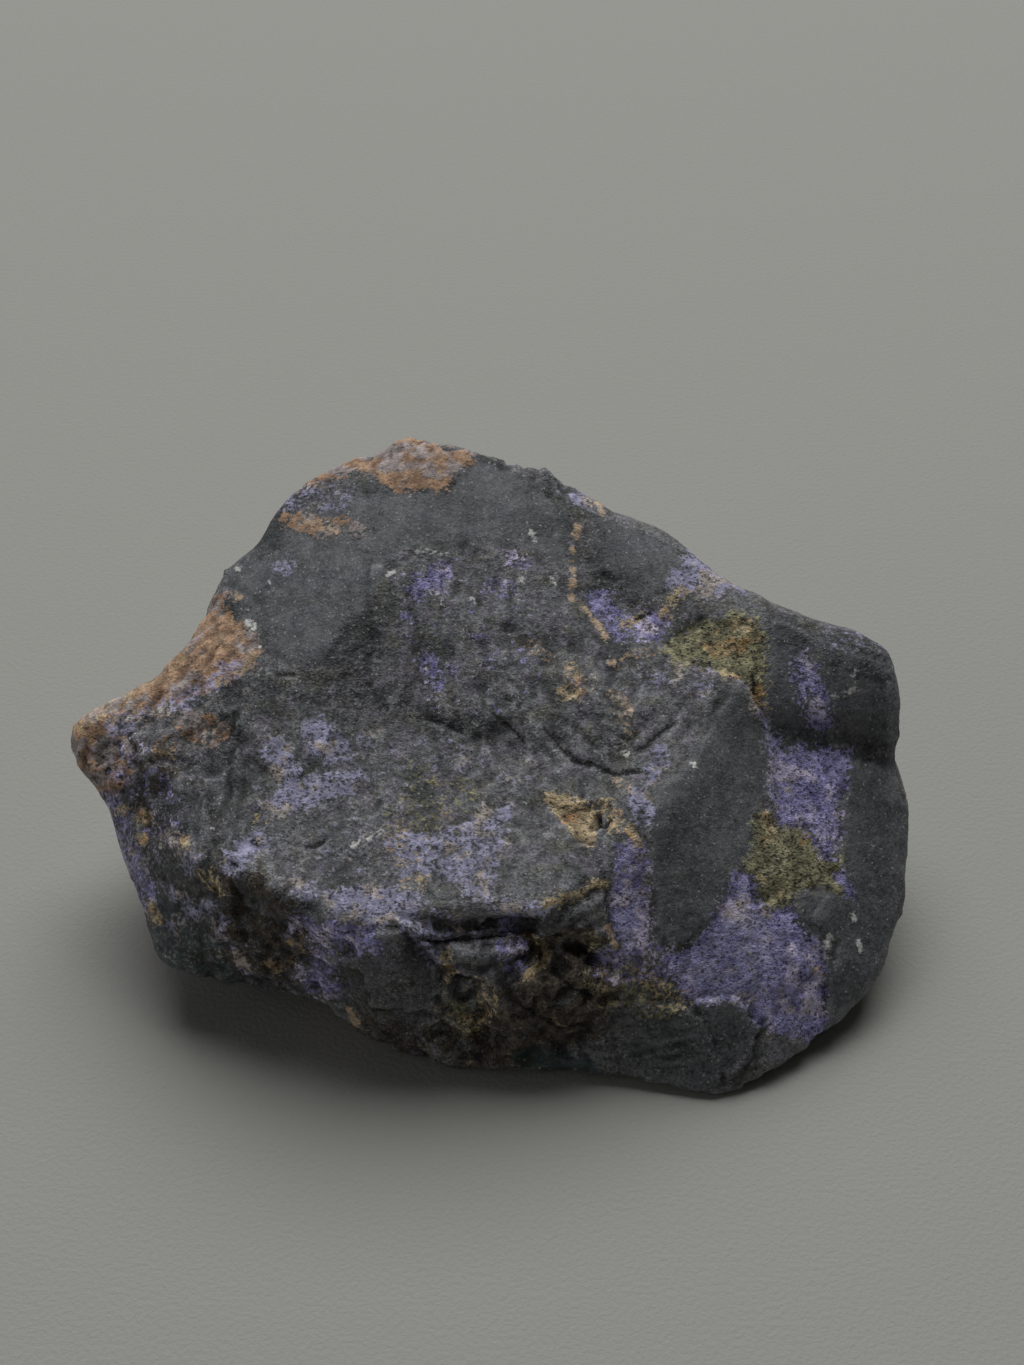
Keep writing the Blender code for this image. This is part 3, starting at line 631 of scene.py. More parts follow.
SCATTERS: dict[Tint, Scatter] = {
    Tint.SLATE: Scatter(18.0, 0.00, 9.0, (3.0, 1.0, 7.0)),
    Tint.BROWN: Scatter(13.0, 0.22, 4.0, (11.0, 5.0, 2.0)),
    Tint.TEAL: Scatter(15.0, 0.48, 4.0, (2.0, 17.0, 4.0)),
    Tint.RUST: Scatter(16.0, 0.48, 5.0, (5.0, 29.0, 8.0)),
    Tint.MOSS: Scatter(11.0, 0.50, 5.0, (23.0, 3.0, 6.0)),
    Tint.VIOLET: Scatter(14.0, 0.33, 4.0, (9.0, 13.0, 31.0)),
    Tint.LILAC: Scatter(8.0, 0.46, 3.0, (19.0, 2.0, 12.0)),
    Tint.OCHRE: Scatter(5.0, 0.64, 2.5, (7.0, 37.0, 3.0)),
    Tint.TAN: Scatter(2.6, 0.78, 1.0, (1.0, 8.0, 41.0)),
    Tint.CHALK: Scatter(2.4, 0.80, 1.0, (4.0, 18.0, 51.0)),
    Tint.STAIN_AND_SHADE: Scatter(9.0, 0.36, 4.0, (14.0, 6.0, 27.0)),
    Tint.CRACK: Scatter(3.4, 0.70, 1.0, (43.0, 6.0, 9.0)),
}


@dataclass(frozen=True)
class Step:
    """A plate or a hollow with a broken edge round it.

    Attributes:
        zone: where it is.
        height: how far it stands out, below zero for a hollow.
        edge: how wide its broken edge is.
    """

    zone: Patch
    height: float
    edge: float = 0.35


STEPS: tuple[Step, ...] = (
    # the shelf under the ledge, the plate to its left and the plates at the front tip
    Step(area((-10.6, -22.2), (-4, -21.9), (0.6, -22.0), (2.6, -22.6), (3, -25.4), (-2, -26.4),
              (-6, -26.2), (-9, -23.8)), 1.3, 0.5),
    Step(area((4.0, -21.6), (10.2, -19.6), (10.6, -23.4), (6.0, -24.6), (3.4, -24.0)), 0.9, 0.6),
    Step(area((-14.2, -24.2), (-8.9, -22.8), (-6.2, -26.2), (-6.2, -31.6), (-13, -31)), 0.5),
    Step(area((9.6, -30.8), (13.0, -30.0), (18.4, -30.6), (20.4, -31.8), (21.6, -34),
              (22.3, -36.8), (21.4, -41), (9, -38)), 0.45, 0.7),
    Step(area((19.6, -30.0), (24.2, -29.7), (26.2, -32.6), (24.6, -35.6), (22.6, -38), (21.8, -34),
              (20.4, -31.6)), 0.3),
    # the three-cornered slab, the strip to its left and the right slab
    Step(area(*SLAB), 0.12),
    Step(area((11.2, -15), (14.8, -12), (15.0, -24.2), (11.8, -24.4), (10.2, -21.2)), -0.12),
    Step(area((34.5, -5.8), (39, -6.4), (42, -12), (42, -30), (32.4, -34.5), (33.2, -24.5),
              (30.8, -22), (33, -19), (34.4, -13)), 0.2, 0.5),
    # the upper left slab and the rim behind the lobe
    Step(area((-30, 12), (-24, 24), (-2, 30), (8, 20), (6.4, 13.6), (0, 15.4), (-9, 15.2),
              (-11.3, 13.6), (-13, 9.5), (-17.5, 4.5), (-20.5, 3), (-25, 6)), 0.2, 1.2),
    Step(area((26.6, 8.6), (31, 6.8), (36, 4.7), (41.5, 2.6), (42, 12), (27, 14)), -0.22, 1.0),
    Step(area((-30, 14), (-24, 24), (-13.4, 28), (-12.8, 21), (-13.4, 12), (-17, 10), (-24, 10)),
              0.15, 1.4),
    # the two mossy hollows, the ochre hole and the round pit at the front
    Step(area((16.5, 5.8), (20.3, 8.1), (25.9, 8.1), (26.6, 6), (26.3, -1.7), (24.6, 2.2),
              (19.7, 3.1)), -0.35, 0.9),
    Step(area((25.3, -11.5), (28.2, -12.3), (31.2, -12.5), (34.1, -17.7), (33.1, -19),
              (29.3, -19.2), (25.5, -20.5), (25.3, -13.8)), -0.3, 0.8),
    Step(area((4.6, -9.4), (8, -10.2), (11.6, -10.2), (11.4, -13), (9.6, -14.6), (8.4, -14.2),
              (6.2, -11.8)), -0.3),
    Step(streak(0.8, (9.9, -11.9)), -0.6, 0.4), Step(streak(1.5, (-3.6, -29.2)), -0.7, 0.5),
    Step(streak(0.9, (7.6, -24.6), (9.4, -26)), -0.7, 0.5),
    # steps down the bowl
    Step(area((-12.6, 13.4), (-9.4, 12.4), (-8.8, 3), (-11, -1), (-13, 2)), 0.3, 0.9),
    Step(area((2.6, 7), (8.2, 6.4), (12, 1), (11, -5.4), (6, -4.6), (2.4, -2), (3.6, 2)),
              -0.2, 1.6),
    Step(area((-26, 2.4), (-20.5, 2.6), (-16, -3), (-21, -8.2), (-24.6, -6)), 0.3, 1.6),
    # the facets at the left end
    Step(area((-33.0, -3.8), (-29.5, -2.0), (-26.0, -1.2), (-26.4, -7.0), (-28.9, -16.4),
              (-31.4, -11.0)), -0.32, 0.6),
    Step(area((-26.0, -1.2), (-23.2, -3.6), (-23.8, -10.0), (-27.6, -15.6), (-26.4, -7.0)),
              0.15, 0.8),
    Step(area((-36.6, -8), (-33.4, -7.8), (-31.8, -9.6), (-30.6, -14.4), (-35, -14.4)), -0.2, 1.0),
    Step(area((-38.4, -3.6), (-32.0, -2.4), (-32.6, -5.6), (-36.4, -6.4)), 0.3, 0.4),
    # thin flakes on the ledge
    Step(area((-18, -8.2), (-12, -8.4), (-11.6, -11), (-15.4, -11.6), (-18.4, -10.2)), -0.18),
    Step(area((-8.6, -15.8), (-3.6, -12.4), (6, -13.6), (9, -17.6), (4, -20.4), (-7, -19.6)),
              0.16),
)


@dataclass(frozen=True)
class Rough:
    """Part of the drawing where the rock broke into small chips.

    Attributes:
        zone: where it is.
        amount: how rough it is, 1 for as rough as the hidden sides.
    """

    zone: Patch
    amount: float


ROUGH: tuple[Rough, ...] = (
    Rough(area((0, 9), (9, 6), (16, 0), (12, -6), (0, -5), (-7, -1)), 0.75),
    Rough(streak(1.6, (-30, 12), (-24, 21), (-15, 26), (-3, 27), (6, 22)), 1.9),
    Rough(area((-44, -4), (-30, 0), (-25, -4), (-27, -16), (-36, -12)), 0.9),
    Rough(area((-30, -16), (-18, -19), (-14, -24), (-16, -32), (-30, -27)), 1.1),
    Rough(area((-5, -24), (10, -21.6), (12, -29), (8, -36), (-8, -36)), 1.5),
    Rough(area((-44, -3), (-38, 1), (-28, 9), (-24, 6), (-30, 1), (-40, -5)), 0.8),
)


@dataclass(frozen=True)
class Stroke:
    """Fine ridges that run one way across part of the drawing.

    Attributes:
        zone: where they are.
        angle: the way they run, in degrees from across the drawing.
        size: about how far apart they lie.
        depth: how deep they are.
    """

    zone: Patch
    angle: float
    size: float
    depth: float


STROKES: tuple[Stroke, ...] = (
    Stroke(area((-44, -4), (-30, 9), (-23, 6), (-24, 3), (-36, -3)), 38.0, 0.7, 0.09),
    Stroke(area((-12, 14), (6, 14), (9, 4), (2, -2), (-10, -1)), 78.0, 1.2, 0.07),
    Stroke(area((-10, 0), (-2, -1), (9, -5), (6, -8), (-2, -5.4), (-10, -3.4)), -32.0, 0.7, 0.10),
    Stroke(area((-10, -21.8), (2, -21.8), (2, -25), (-6, -26)), 4.0, 0.6, 0.20),
    Stroke(area((2, 4), (12, 3), (14, -6), (4, -5), (-1, -1)), -38.0, 0.8, 0.17),
    Stroke(area((-26, -2), (-8, -3), (8, -6), (10, -17), (-14, -20), (-26, -14)), 14.0, 1.0, 0.06),
    Stroke(area((-32, -2), (-26, -1), (-24, -14), (-31, -15)), 86.0, 0.9, 0.14),
    Stroke(area((-31, -16), (-16, -22), (-16, -30), (-34, -28), (-35, -18)), -58.0, 1.0, 0.14),
    Stroke(area((16, -7), (26, 0), (27, -12), (20, -24), (15, -22)), 70.0, 0.9, 0.02),
    Stroke(area((8, -26), (18, -29), (22, -38), (6, -36)), 8.0, 0.8, 0.10),
    Stroke(area((14, 3), (25, 2), (20, -6), (12, -6)), 50.0, 1.0, 0.10),
)


def over(points: np.ndarray, rule: Callable[[tuple[float, ...]], float]) -> np.ndarray:
    """What a rule gives at each point.

    Args:
        points: points, one a row.
        rule: gives a number for one point.

    Returns:
        One number for each point.
    """
    return np.fromiter((rule(point) for point in points.tolist()), float, len(points))


def lumps(points: np.ndarray, size: float, octaves: int = 4) -> np.ndarray:
    """Uneven noise about this size, from about -1 to 1."""
    return over(points / size, lambda p: noise.fractal(p, OCTAVE_LOSS, OCTAVE_STEP, octaves))


def strays(points: np.ndarray, size: float, octaves: int,
           parts: tuple[float, ...]) -> np.ndarray:
    """An uneven shift of each point, with a column from each of these parts of the noise."""
    return np.stack([lumps(points + part, size, octaves) for part in parts], axis=1)


def folds(points: np.ndarray, size: float, crest: float) -> np.ndarray:
    """Sharp ridges about this size and up to this high: noise folded over at its middle."""
    return crest - 2 * np.abs(lumps(points, size, octaves=3))


def ramp(values: np.ndarray, low: float, high: float) -> np.ndarray:
    """A smooth rise from 0 at the low value to 1 at the high one."""
    share = np.clip((values - low) / (high - low), 0, 1)
    return share * share * (3 - 2 * share)


def unit(rows: np.ndarray) -> np.ndarray:
    """Each row, made 1 long."""
    return rows / np.maximum(np.linalg.norm(rows, axis=1), TINY)[:, None]


@dataclass(frozen=True)
class Chips:
    """Flat broken facets, each a cell of a Voronoi pattern with a tilt of its own.

    Attributes:
        size: about how wide a facet is.
        tilt: how far facets lean, as a slope.
        hollow: how much each dips in its middle.
        rim: how steeply each drops to its neighbours.
        level: the squared distance from a facet's middle at which the dip is level.
    """

    size: float
    tilt: float = 0.8
    hollow: float = 0.10
    rim: float = 4.0
    level: float = 0.15

    def height(self, point: tuple[float, ...]) -> float:
        """How high the facets stand at one point.

        Args:
            point: a point in space.

        Returns:
            Their height, in millimetres.
        """
        place = Vector(point) / self.size
        distances, seeds = noise.voronoi(place)
        slope = noise.cell_vector(seeds[0] * CELL_SPREAD) - CELL_MIDDLE
        lean = self.tilt * (place - seeds[0]).dot(slope)
        blend = min((distances[1] - distances[0]) * self.rim, 1.0)
        return self.size * (lean * blend + self.hollow * (distances[0] ** 2 - self.level))


class Skin:
    """The rock's surface as a fine mesh of quads, in millimetres, with what lies on it."""

    def __init__(self, mesh: bpy.types.Mesh) -> None:
        """Read a mesh of quads.

        Args:
            mesh: a closed mesh, in metres.
        """
        self.points = self.rows(mesh.vertices, "co", 3) / MM
        self.quads = self.rows(mesh.polygons, "vertices", 4, int)
        self.edges = self.rows(mesh.edges, "vertices", 2, int)
        self.fields: dict[Tint, np.ndarray] = {}
        self.shades: dict[str, np.ndarray] = {}

    @staticmethod
    def rows(items: bpy.types.bpy_prop_collection, name: str, width: int,
             kind: type = float) -> np.ndarray:
        """Read the numbers that the items of a mesh hold.

        Args:
            items: the mesh's vertices, edges or faces.
            name: what is read.
            width: how many numbers each item holds.
            kind: the type of the numbers.

        Returns:
            The numbers, one item a row.
        """
        values = np.empty(len(items) * width, kind)
        items.foreach_get(name, values)
        return values.reshape(-1, width)

    def gather(self, indices: np.ndarray, values: np.ndarray) -> np.ndarray:
        """Add up rows of values at the points that they belong to."""
        columns = [np.bincount(indices, column, len(self.points)) for column in values.T]
        return np.stack(columns, axis=1)

    def normals(self) -> np.ndarray:
        """Find which way the surface faces.

        Returns:
            The unit normal at each point, one a row.
        """
        corners = self.points[self.quads]
        across = np.cross(corners[:, 2] - corners[:, 0], corners[:, 3] - corners[:, 1])
        return unit(sum(self.gather(self.quads[:, i], across) for i in range(4)))

    def spread(self, values: np.ndarray, rounds: int,
               weights: np.ndarray | None = None) -> np.ndarray:
        """Even out values between neighbouring points.

        Args:
            values: one row for each point.
            rounds: how many times each point takes the mean of itself and its neighbours.
            weights: how much each edge lets through, or None for all the same.

        Returns:
            The evened values.
        """
        start, end = self.edges.T
        share = (np.ones(len(self.edges)) if weights is None else weights)[:, None]
        total = 1 + self.gather(start, share) + self.gather(end, share)
        for _ in range(rounds):
            passed = self.gather(start, share * values[end])
            passed += self.gather(end, share * values[start])
            values = (values + passed) / total
        return values

    def soften(self, rounds: int, sharp: float, reach: int = 2) -> None:
        """Even out the surface but keep its broken edges.

        Args:
            rounds: how many times it is evened out.
            sharp: how far two normals may differ, as one minus their dot product, before the
                edge between their points counts as a broken one.
            reach: over how many edges the normals and the points are evened each time.
        """
        for _ in range(rounds):
            facing = unit(self.spread(self.normals(), reach))
            turn = 1 - np.sum(facing[self.edges[:, 0]] * facing[self.edges[:, 1]], axis=1)
            self.points = self.spread(self.points, reach, np.exp(-(turn / sharp) ** 2))

    def write(self, mesh: bpy.types.Mesh) -> None:
        """Put the points, the fields and the shades into a mesh.

        Args:
            mesh: the mesh that the skin was read from.
        """
        mesh.vertices.foreach_set("co", (self.points * MM).ravel())
        named = {tint.value: values for tint, values in self.fields.items()}
        for name, values in (named | self.shades).items():
            layer = mesh.attributes.new(name, "FLOAT", "POINT")
            layer.data.foreach_set("value", values)
        mesh.update()


@dataclass(frozen=True)
class Crust:
    """How one tint looks, and where its edge runs.

    Attributes:
        tint: the field that it follows.
        dark: its darker grains.
        light: its lighter grains.
        accent: the colour of the blotches in it.
        ragged: how far its edge strays.
        lump: the size of the bays in its edge.
        crumble: how far single grains stray over its edge.
        soft: how far its edge fades.
        blotches: how much of it the accent takes.
        pepper: the share of dark specks in it.
        cover: how much it hides what is under it.
        roughness: of its surface.
        grit: how strong its grains stand out.
        channel: which of the three shared noises it takes first.
    """

    tint: Tint
    dark: Colour
    light: Colour
    accent: Colour
    ragged: float
    lump: float
    crumble: float = 0.5
    soft: float = 0.10
    blotches: float = 0.25
    pepper: float = 0.10
    cover: float = 0.9
    roughness: float = 0.75
    grit: float = 1.0
    channel: int = 0


CRUSTS: tuple[Crust, ...] = (
    Crust(Tint.SLATE, (0.036, 0.039, 0.043), (0.208, 0.214, 0.230), (0.130, 0.133, 0.134),
          ragged=0.35, lump=2.5, crumble=0.22, blotches=0.25, pepper=0.0, cover=0.85,
          roughness=0.62, grit=0.6, channel=0),
    # dark stains, and painted shade where the rock is darkened for how the light falls on it
    Crust(Tint.STAIN_AND_SHADE, (0.014, 0.015, 0.017), (0.092, 0.096, 0.101), (0.050, 0.050, 0.048),
          ragged=0.5, lump=1.4, crumble=0.8, soft=0.3, pepper=0.0, cover=0.85, roughness=0.6,
          grit=1.2, channel=2),
    Crust(Tint.BROWN, (0.016, 0.014, 0.012), (0.170, 0.135, 0.098), (0.420, 0.290, 0.165),
          ragged=1.2, lump=1.6, crumble=0.9, blotches=0.20, pepper=0.28, roughness=0.8, grit=2.2,
          channel=1),
    Crust(Tint.TEAL, (0.020, 0.034, 0.036), (0.075, 0.105, 0.105), (0.030, 0.040, 0.035),
          ragged=0.5, lump=1.2, roughness=0.5, grit=0.5, channel=2),
    Crust(Tint.RUST, (0.180, 0.100, 0.062), (0.640, 0.420, 0.270), (0.380, 0.345, 0.350),
          ragged=0.7, lump=1.0, crumble=0.4, soft=0.2, blotches=0.42, pepper=0.05, roughness=0.9,
          grit=1.3, channel=0),
    Crust(Tint.MOSS, (0.075, 0.074, 0.034), (0.520, 0.485, 0.290), (0.560, 0.360, 0.150),
          ragged=0.6, lump=1.0, crumble=0.6, soft=0.2, blotches=0.22, pepper=0.28, roughness=0.85,
          grit=1.9, channel=1),
    Crust(Tint.VIOLET, (0.080, 0.072, 0.255), (0.650, 0.605, 1.000), (0.780, 0.700, 0.900),
          ragged=0.7, lump=1.1, crumble=0.55, soft=0.25, blotches=0.34, pepper=0.24, roughness=0.8,
          grit=1.5, channel=2),
    Crust(Tint.LILAC, (0.185, 0.182, 0.290), (0.610, 0.600, 0.850), (0.560, 0.470, 0.370),
          ragged=0.7, lump=1.0, crumble=0.5, soft=0.4, blotches=0.34, pepper=0.28, cover=0.8,
          roughness=0.8, grit=1.2, channel=0),
    Crust(Tint.OCHRE, (0.200, 0.150, 0.086), (0.900, 0.720, 0.440), (0.680, 0.370, 0.150),
          ragged=0.35, lump=0.7, crumble=0.4, soft=0.2, blotches=0.26, pepper=0.20, cover=0.88,
          roughness=0.85, grit=1.7, channel=1),
    Crust(Tint.TAN, (0.300, 0.210, 0.130), (0.740, 0.560, 0.390), (0.420, 0.360, 0.300),
          ragged=0.1, lump=0.6, crumble=0.25, pepper=0.10, cover=0.92, roughness=0.7, channel=2),
    Crust(Tint.CHALK, (0.420, 0.420, 0.400), (0.800, 0.800, 0.770), (0.500, 0.500, 0.480),
          ragged=0.1, lump=0.5, crumble=0.2, pepper=0.0, cover=0.92, roughness=0.7, channel=0),
)


@dataclass(frozen=True)
class Stone:
    """The bare rock between the crusts.

    Attributes:
        black: its darkest parts.
        grey: its lighter parts.
        plum: its purple cast.
        olive: its green cast.
        salt: the colour of its single pale grains.
        pit: the colour of dark specks in the crusts, and of cracks.
        grey_span: where in the noise the lighter parts start and are full.
        plum_span: the same for the purple cast.
        olive_span: the same for the green cast.
        plum_share: how strong the purple cast is.
        olive_share: how strong the green cast is.
        uneven: how bright its darker and its lighter patches are.
        contrast: how bright its darkest and its lightest grains are.
        salt_share: how many grains are pale.
        pale_grain_and_glint_share: how many are pale on the crusts: pale grains, and painted
            glints.
        blotch: the size of the lighter and darker parts.
        patch: the size of the blotches in the crusts.
        grain: the size of the grains.
        cell: the size of single specks.
        fine: the size of the finest grit.
        crack: half the width of a crack.
        gloss: the roughness of its darkest and of its lightest grains.
        specular: how much light it throws back like glass.
        bump: how far the grains stand out, in metres.
        bump_share: how strong that shows.
    """

    black: Colour = (0.062, 0.066, 0.066)
    grey: Colour = (0.168, 0.171, 0.181)
    plum: Colour = (0.190, 0.176, 0.214)
    olive: Colour = (0.150, 0.146, 0.118)
    salt: Colour = (0.420, 0.415, 0.400)
    pit: Colour = (0.020, 0.020, 0.021)
    grey_span: Span = (0.34, 0.56)
    plum_span: Span = (0.48, 0.66)
    olive_span: Span = (0.50, 0.66)
    plum_share: float = 0.7
    olive_share: float = 0.6
    uneven: Span = (0.88, 1.12)
    contrast: Span = (0.36, 1.64)
    salt_share: float = 0.045
    pale_grain_and_glint_share: float = 0.02
    blotch: float = 7.0
    patch: float = 2.2
    grain: float = 0.42
    cell: float = 0.30
    fine: float = 0.19
    crack: float = 0.14
    gloss: Span = (0.82, 0.60)
    specular: float = 0.35
    bump: float = 0.00022
    bump_share: float = 0.8


class Graph:
    """A node tree with a short way to add nodes and join them."""

    def __init__(self, tree: bpy.types.NodeTree) -> None:
        """Start adding to a tree."""
        self.tree = tree

    def feed(self, socket: Socket, value: object) -> None:
        """Join a socket to another one, or set its value.

        Args:
            socket: an input of a node.
            value: the output that it is joined to, a number or a colour.
        """
        if isinstance(value, Socket):
            self.tree.links.new(value, socket)
        elif isinstance(value, tuple) and socket.type == "RGBA":
            socket.default_value = (*value, 1.0)
        else:
            socket.default_value = value

    def add(self, kind: str, inputs: dict[str | int, object],
            **settings: object) -> bpy.types.Node:
        """Add a node.

        Args:
            kind: the node's type, without its ShaderNode prefix.
            inputs: what its sockets get, by name or number.
            **settings: the node's own settings.

        Returns:
            The new node.
        """
        node = self.tree.nodes.new("ShaderNode" + kind)
        for name, value in settings.items():
            setattr(node, name, value)
        for name, value in inputs.items():
            self.feed(node.inputs[name], value)
        return node

    def math(self, operation: str, *values: object) -> Socket:
        """The result of a sum on numbers."""
        return self.add("Math", dict(enumerate(values)), operation=operation).outputs[0]

    def times(self, value: object, share: object) -> Socket:
        """One number times another."""
        return self.math("MULTIPLY", value, share)

    def swing(self, value: object, reach: float, base: object = 0.0) -> Socket:
        """A base, moved by how far a value from 0 to 1 lies off its middle."""
        return self.math("MULTIPLY_ADD", self.math("SUBTRACT", value, 0.5), reach, base)

    def rise(self, value: object, low: object, high: object) -> Socket:
        """A smooth rise from 0 at the low value to 1 at the high one."""
        inputs = {"Value": value, "From Min": low, "From Max": high}
        return self.add("MapRange", inputs, interpolation_type="SMOOTHSTEP").outputs[0]

    # A Mix node has sockets of its own for each type: 2 and 3 for numbers, 6 and 7 for colours.
    def blend(self, share: object, under: object, above: object) -> Socket:
        """A mix of two colours."""
        return self.add("Mix", {0: share, 6: under, 7: above}, data_type="RGBA").outputs[2]

    def between(self, share: object, under: object, above: object) -> Socket:
        """A mix of two numbers."""
        return self.add("Mix", {0: share, 2: under, 3: above}).outputs[0]

    def noise(self, place: Socket, size: float, detail: float) -> bpy.types.Node:
        """A noise node with lumps about this size."""
        return self.add("TexNoise", {"Vector": place, "Scale": 1 / size, "Detail": detail,
                                     "Roughness": DETAIL_SHARE})

    def parts(self, colour: Socket) -> tuple[Socket, ...]:
        """The three numbers in a colour."""
        return tuple(self.add("SeparateColor", {0: colour}).outputs[:3])

    def scale(self, colour: object, share: object) -> Socket:
        """A colour made brighter or darker."""
        inputs = {0: colour, "Scale": share}
        return self.add("VectorMath", inputs, operation="SCALE").outputs[0]

    def grow(self, height: object, strength: float, distance: float) -> Socket:
        """The normal of a surface on which this height stands out, up to a distance in metres."""
        inputs = {"Height": height, "Strength": strength, "Distance": distance}
        return self.add("Bump", inputs).outputs[0]


class Group(Graph):
    """A shader node group that turns some numbers into one."""

    def __init__(self, name: str, takes: dict[str, float], gives: str) -> None:
        """Start a group.

        Args:
            name: the group's name.
            takes: its inputs and their usual values.
            gives: its output.
        """
        super().__init__(bpy.data.node_groups.new(name, "ShaderNodeTree"))
        sockets = self.tree.interface
        for label, value in takes.items():
            socket = sockets.new_socket(label, in_out="INPUT", socket_type="NodeSocketFloat")
            socket.default_value = value
        sockets.new_socket(gives, in_out="OUTPUT", socket_type="NodeSocketFloat")
        self.given = self.tree.nodes.new("NodeGroupInput").outputs

    def finish(self, result: Socket) -> bpy.types.NodeTree:
        """Give a result out of the group.

        Args:
            result: a socket inside the group.

        Returns:
            The finished group.
        """
        self.feed(self.tree.nodes.new("NodeGroupOutput").inputs[0], result)
        return self.tree


def crumbled_edge() -> bpy.types.NodeTree:
    """Build a group that turns a field into a mask whose edge breaks up into grains.

    Returns:
        The group.
    """
    takes = {"Field": 0.0, "Noise": 0.5, "Cell": 0.5, "Crumble": 0.5, "Soft": 0.1}
    group = Group("crumbled edge", takes, "Mask")
    given = group.given
    stray = group.swing(given["Noise"], EDGE_LUMPS, group.swing(given["Cell"], EDGE_GRAINS))
    level = group.math("MULTIPLY_ADD", stray, given["Crumble"], given["Field"])
    return group.finish(group.rise(level, group.times(given["Soft"], -1.0), given["Soft"]))


def grains() -> bpy.types.NodeTree:
    """Build a group for small grains, each lighter or darker than the next.

    Returns:
        The group.
    """
    group = Group("grains", {"Noise": 0.5, "Cell": 0.5, "Fine": 0.5}, "Light")
    given = group.given
    cloud = group.rise(given["Noise"], *GRAIN_SPAN)
    grit = group.rise(given["Fine"], *GRIT_SPAN)
    cells = group.between(CELL_SHARE, cloud, given["Cell"])
    return group.finish(group.between(GRIT_SHARE, cells, grit))


def specks() -> bpy.types.NodeTree:
    """Build a group for small separate specks that cover a given share.

    Returns:
        The group.
    """
    group = Group("specks", {"Cell": 0.5, "Reach": 0.3, "Fine": 0.5, "Share": 0.1}, "Mask")
    given = group.given
    shape = group.math("MULTIPLY_ADD", given["Reach"], -SPECK_TAPER, given["Cell"])
    shape = group.swing(given["Fine"], SPECK_RAGGED, shape)
    low = group.math("SUBTRACT", SPECK_TOP, given["Share"])
    return group.finish(group.rise(shape, low, group.math("ADD", low, SPECK_FADE)))


@dataclass(frozen=True)
class Layer:
    """What the surface is made of so far, as sockets in the material.

    Attributes:
        colour: its colour.
        roughness: its roughness.
    """

    colour: Socket
    roughness: Socket


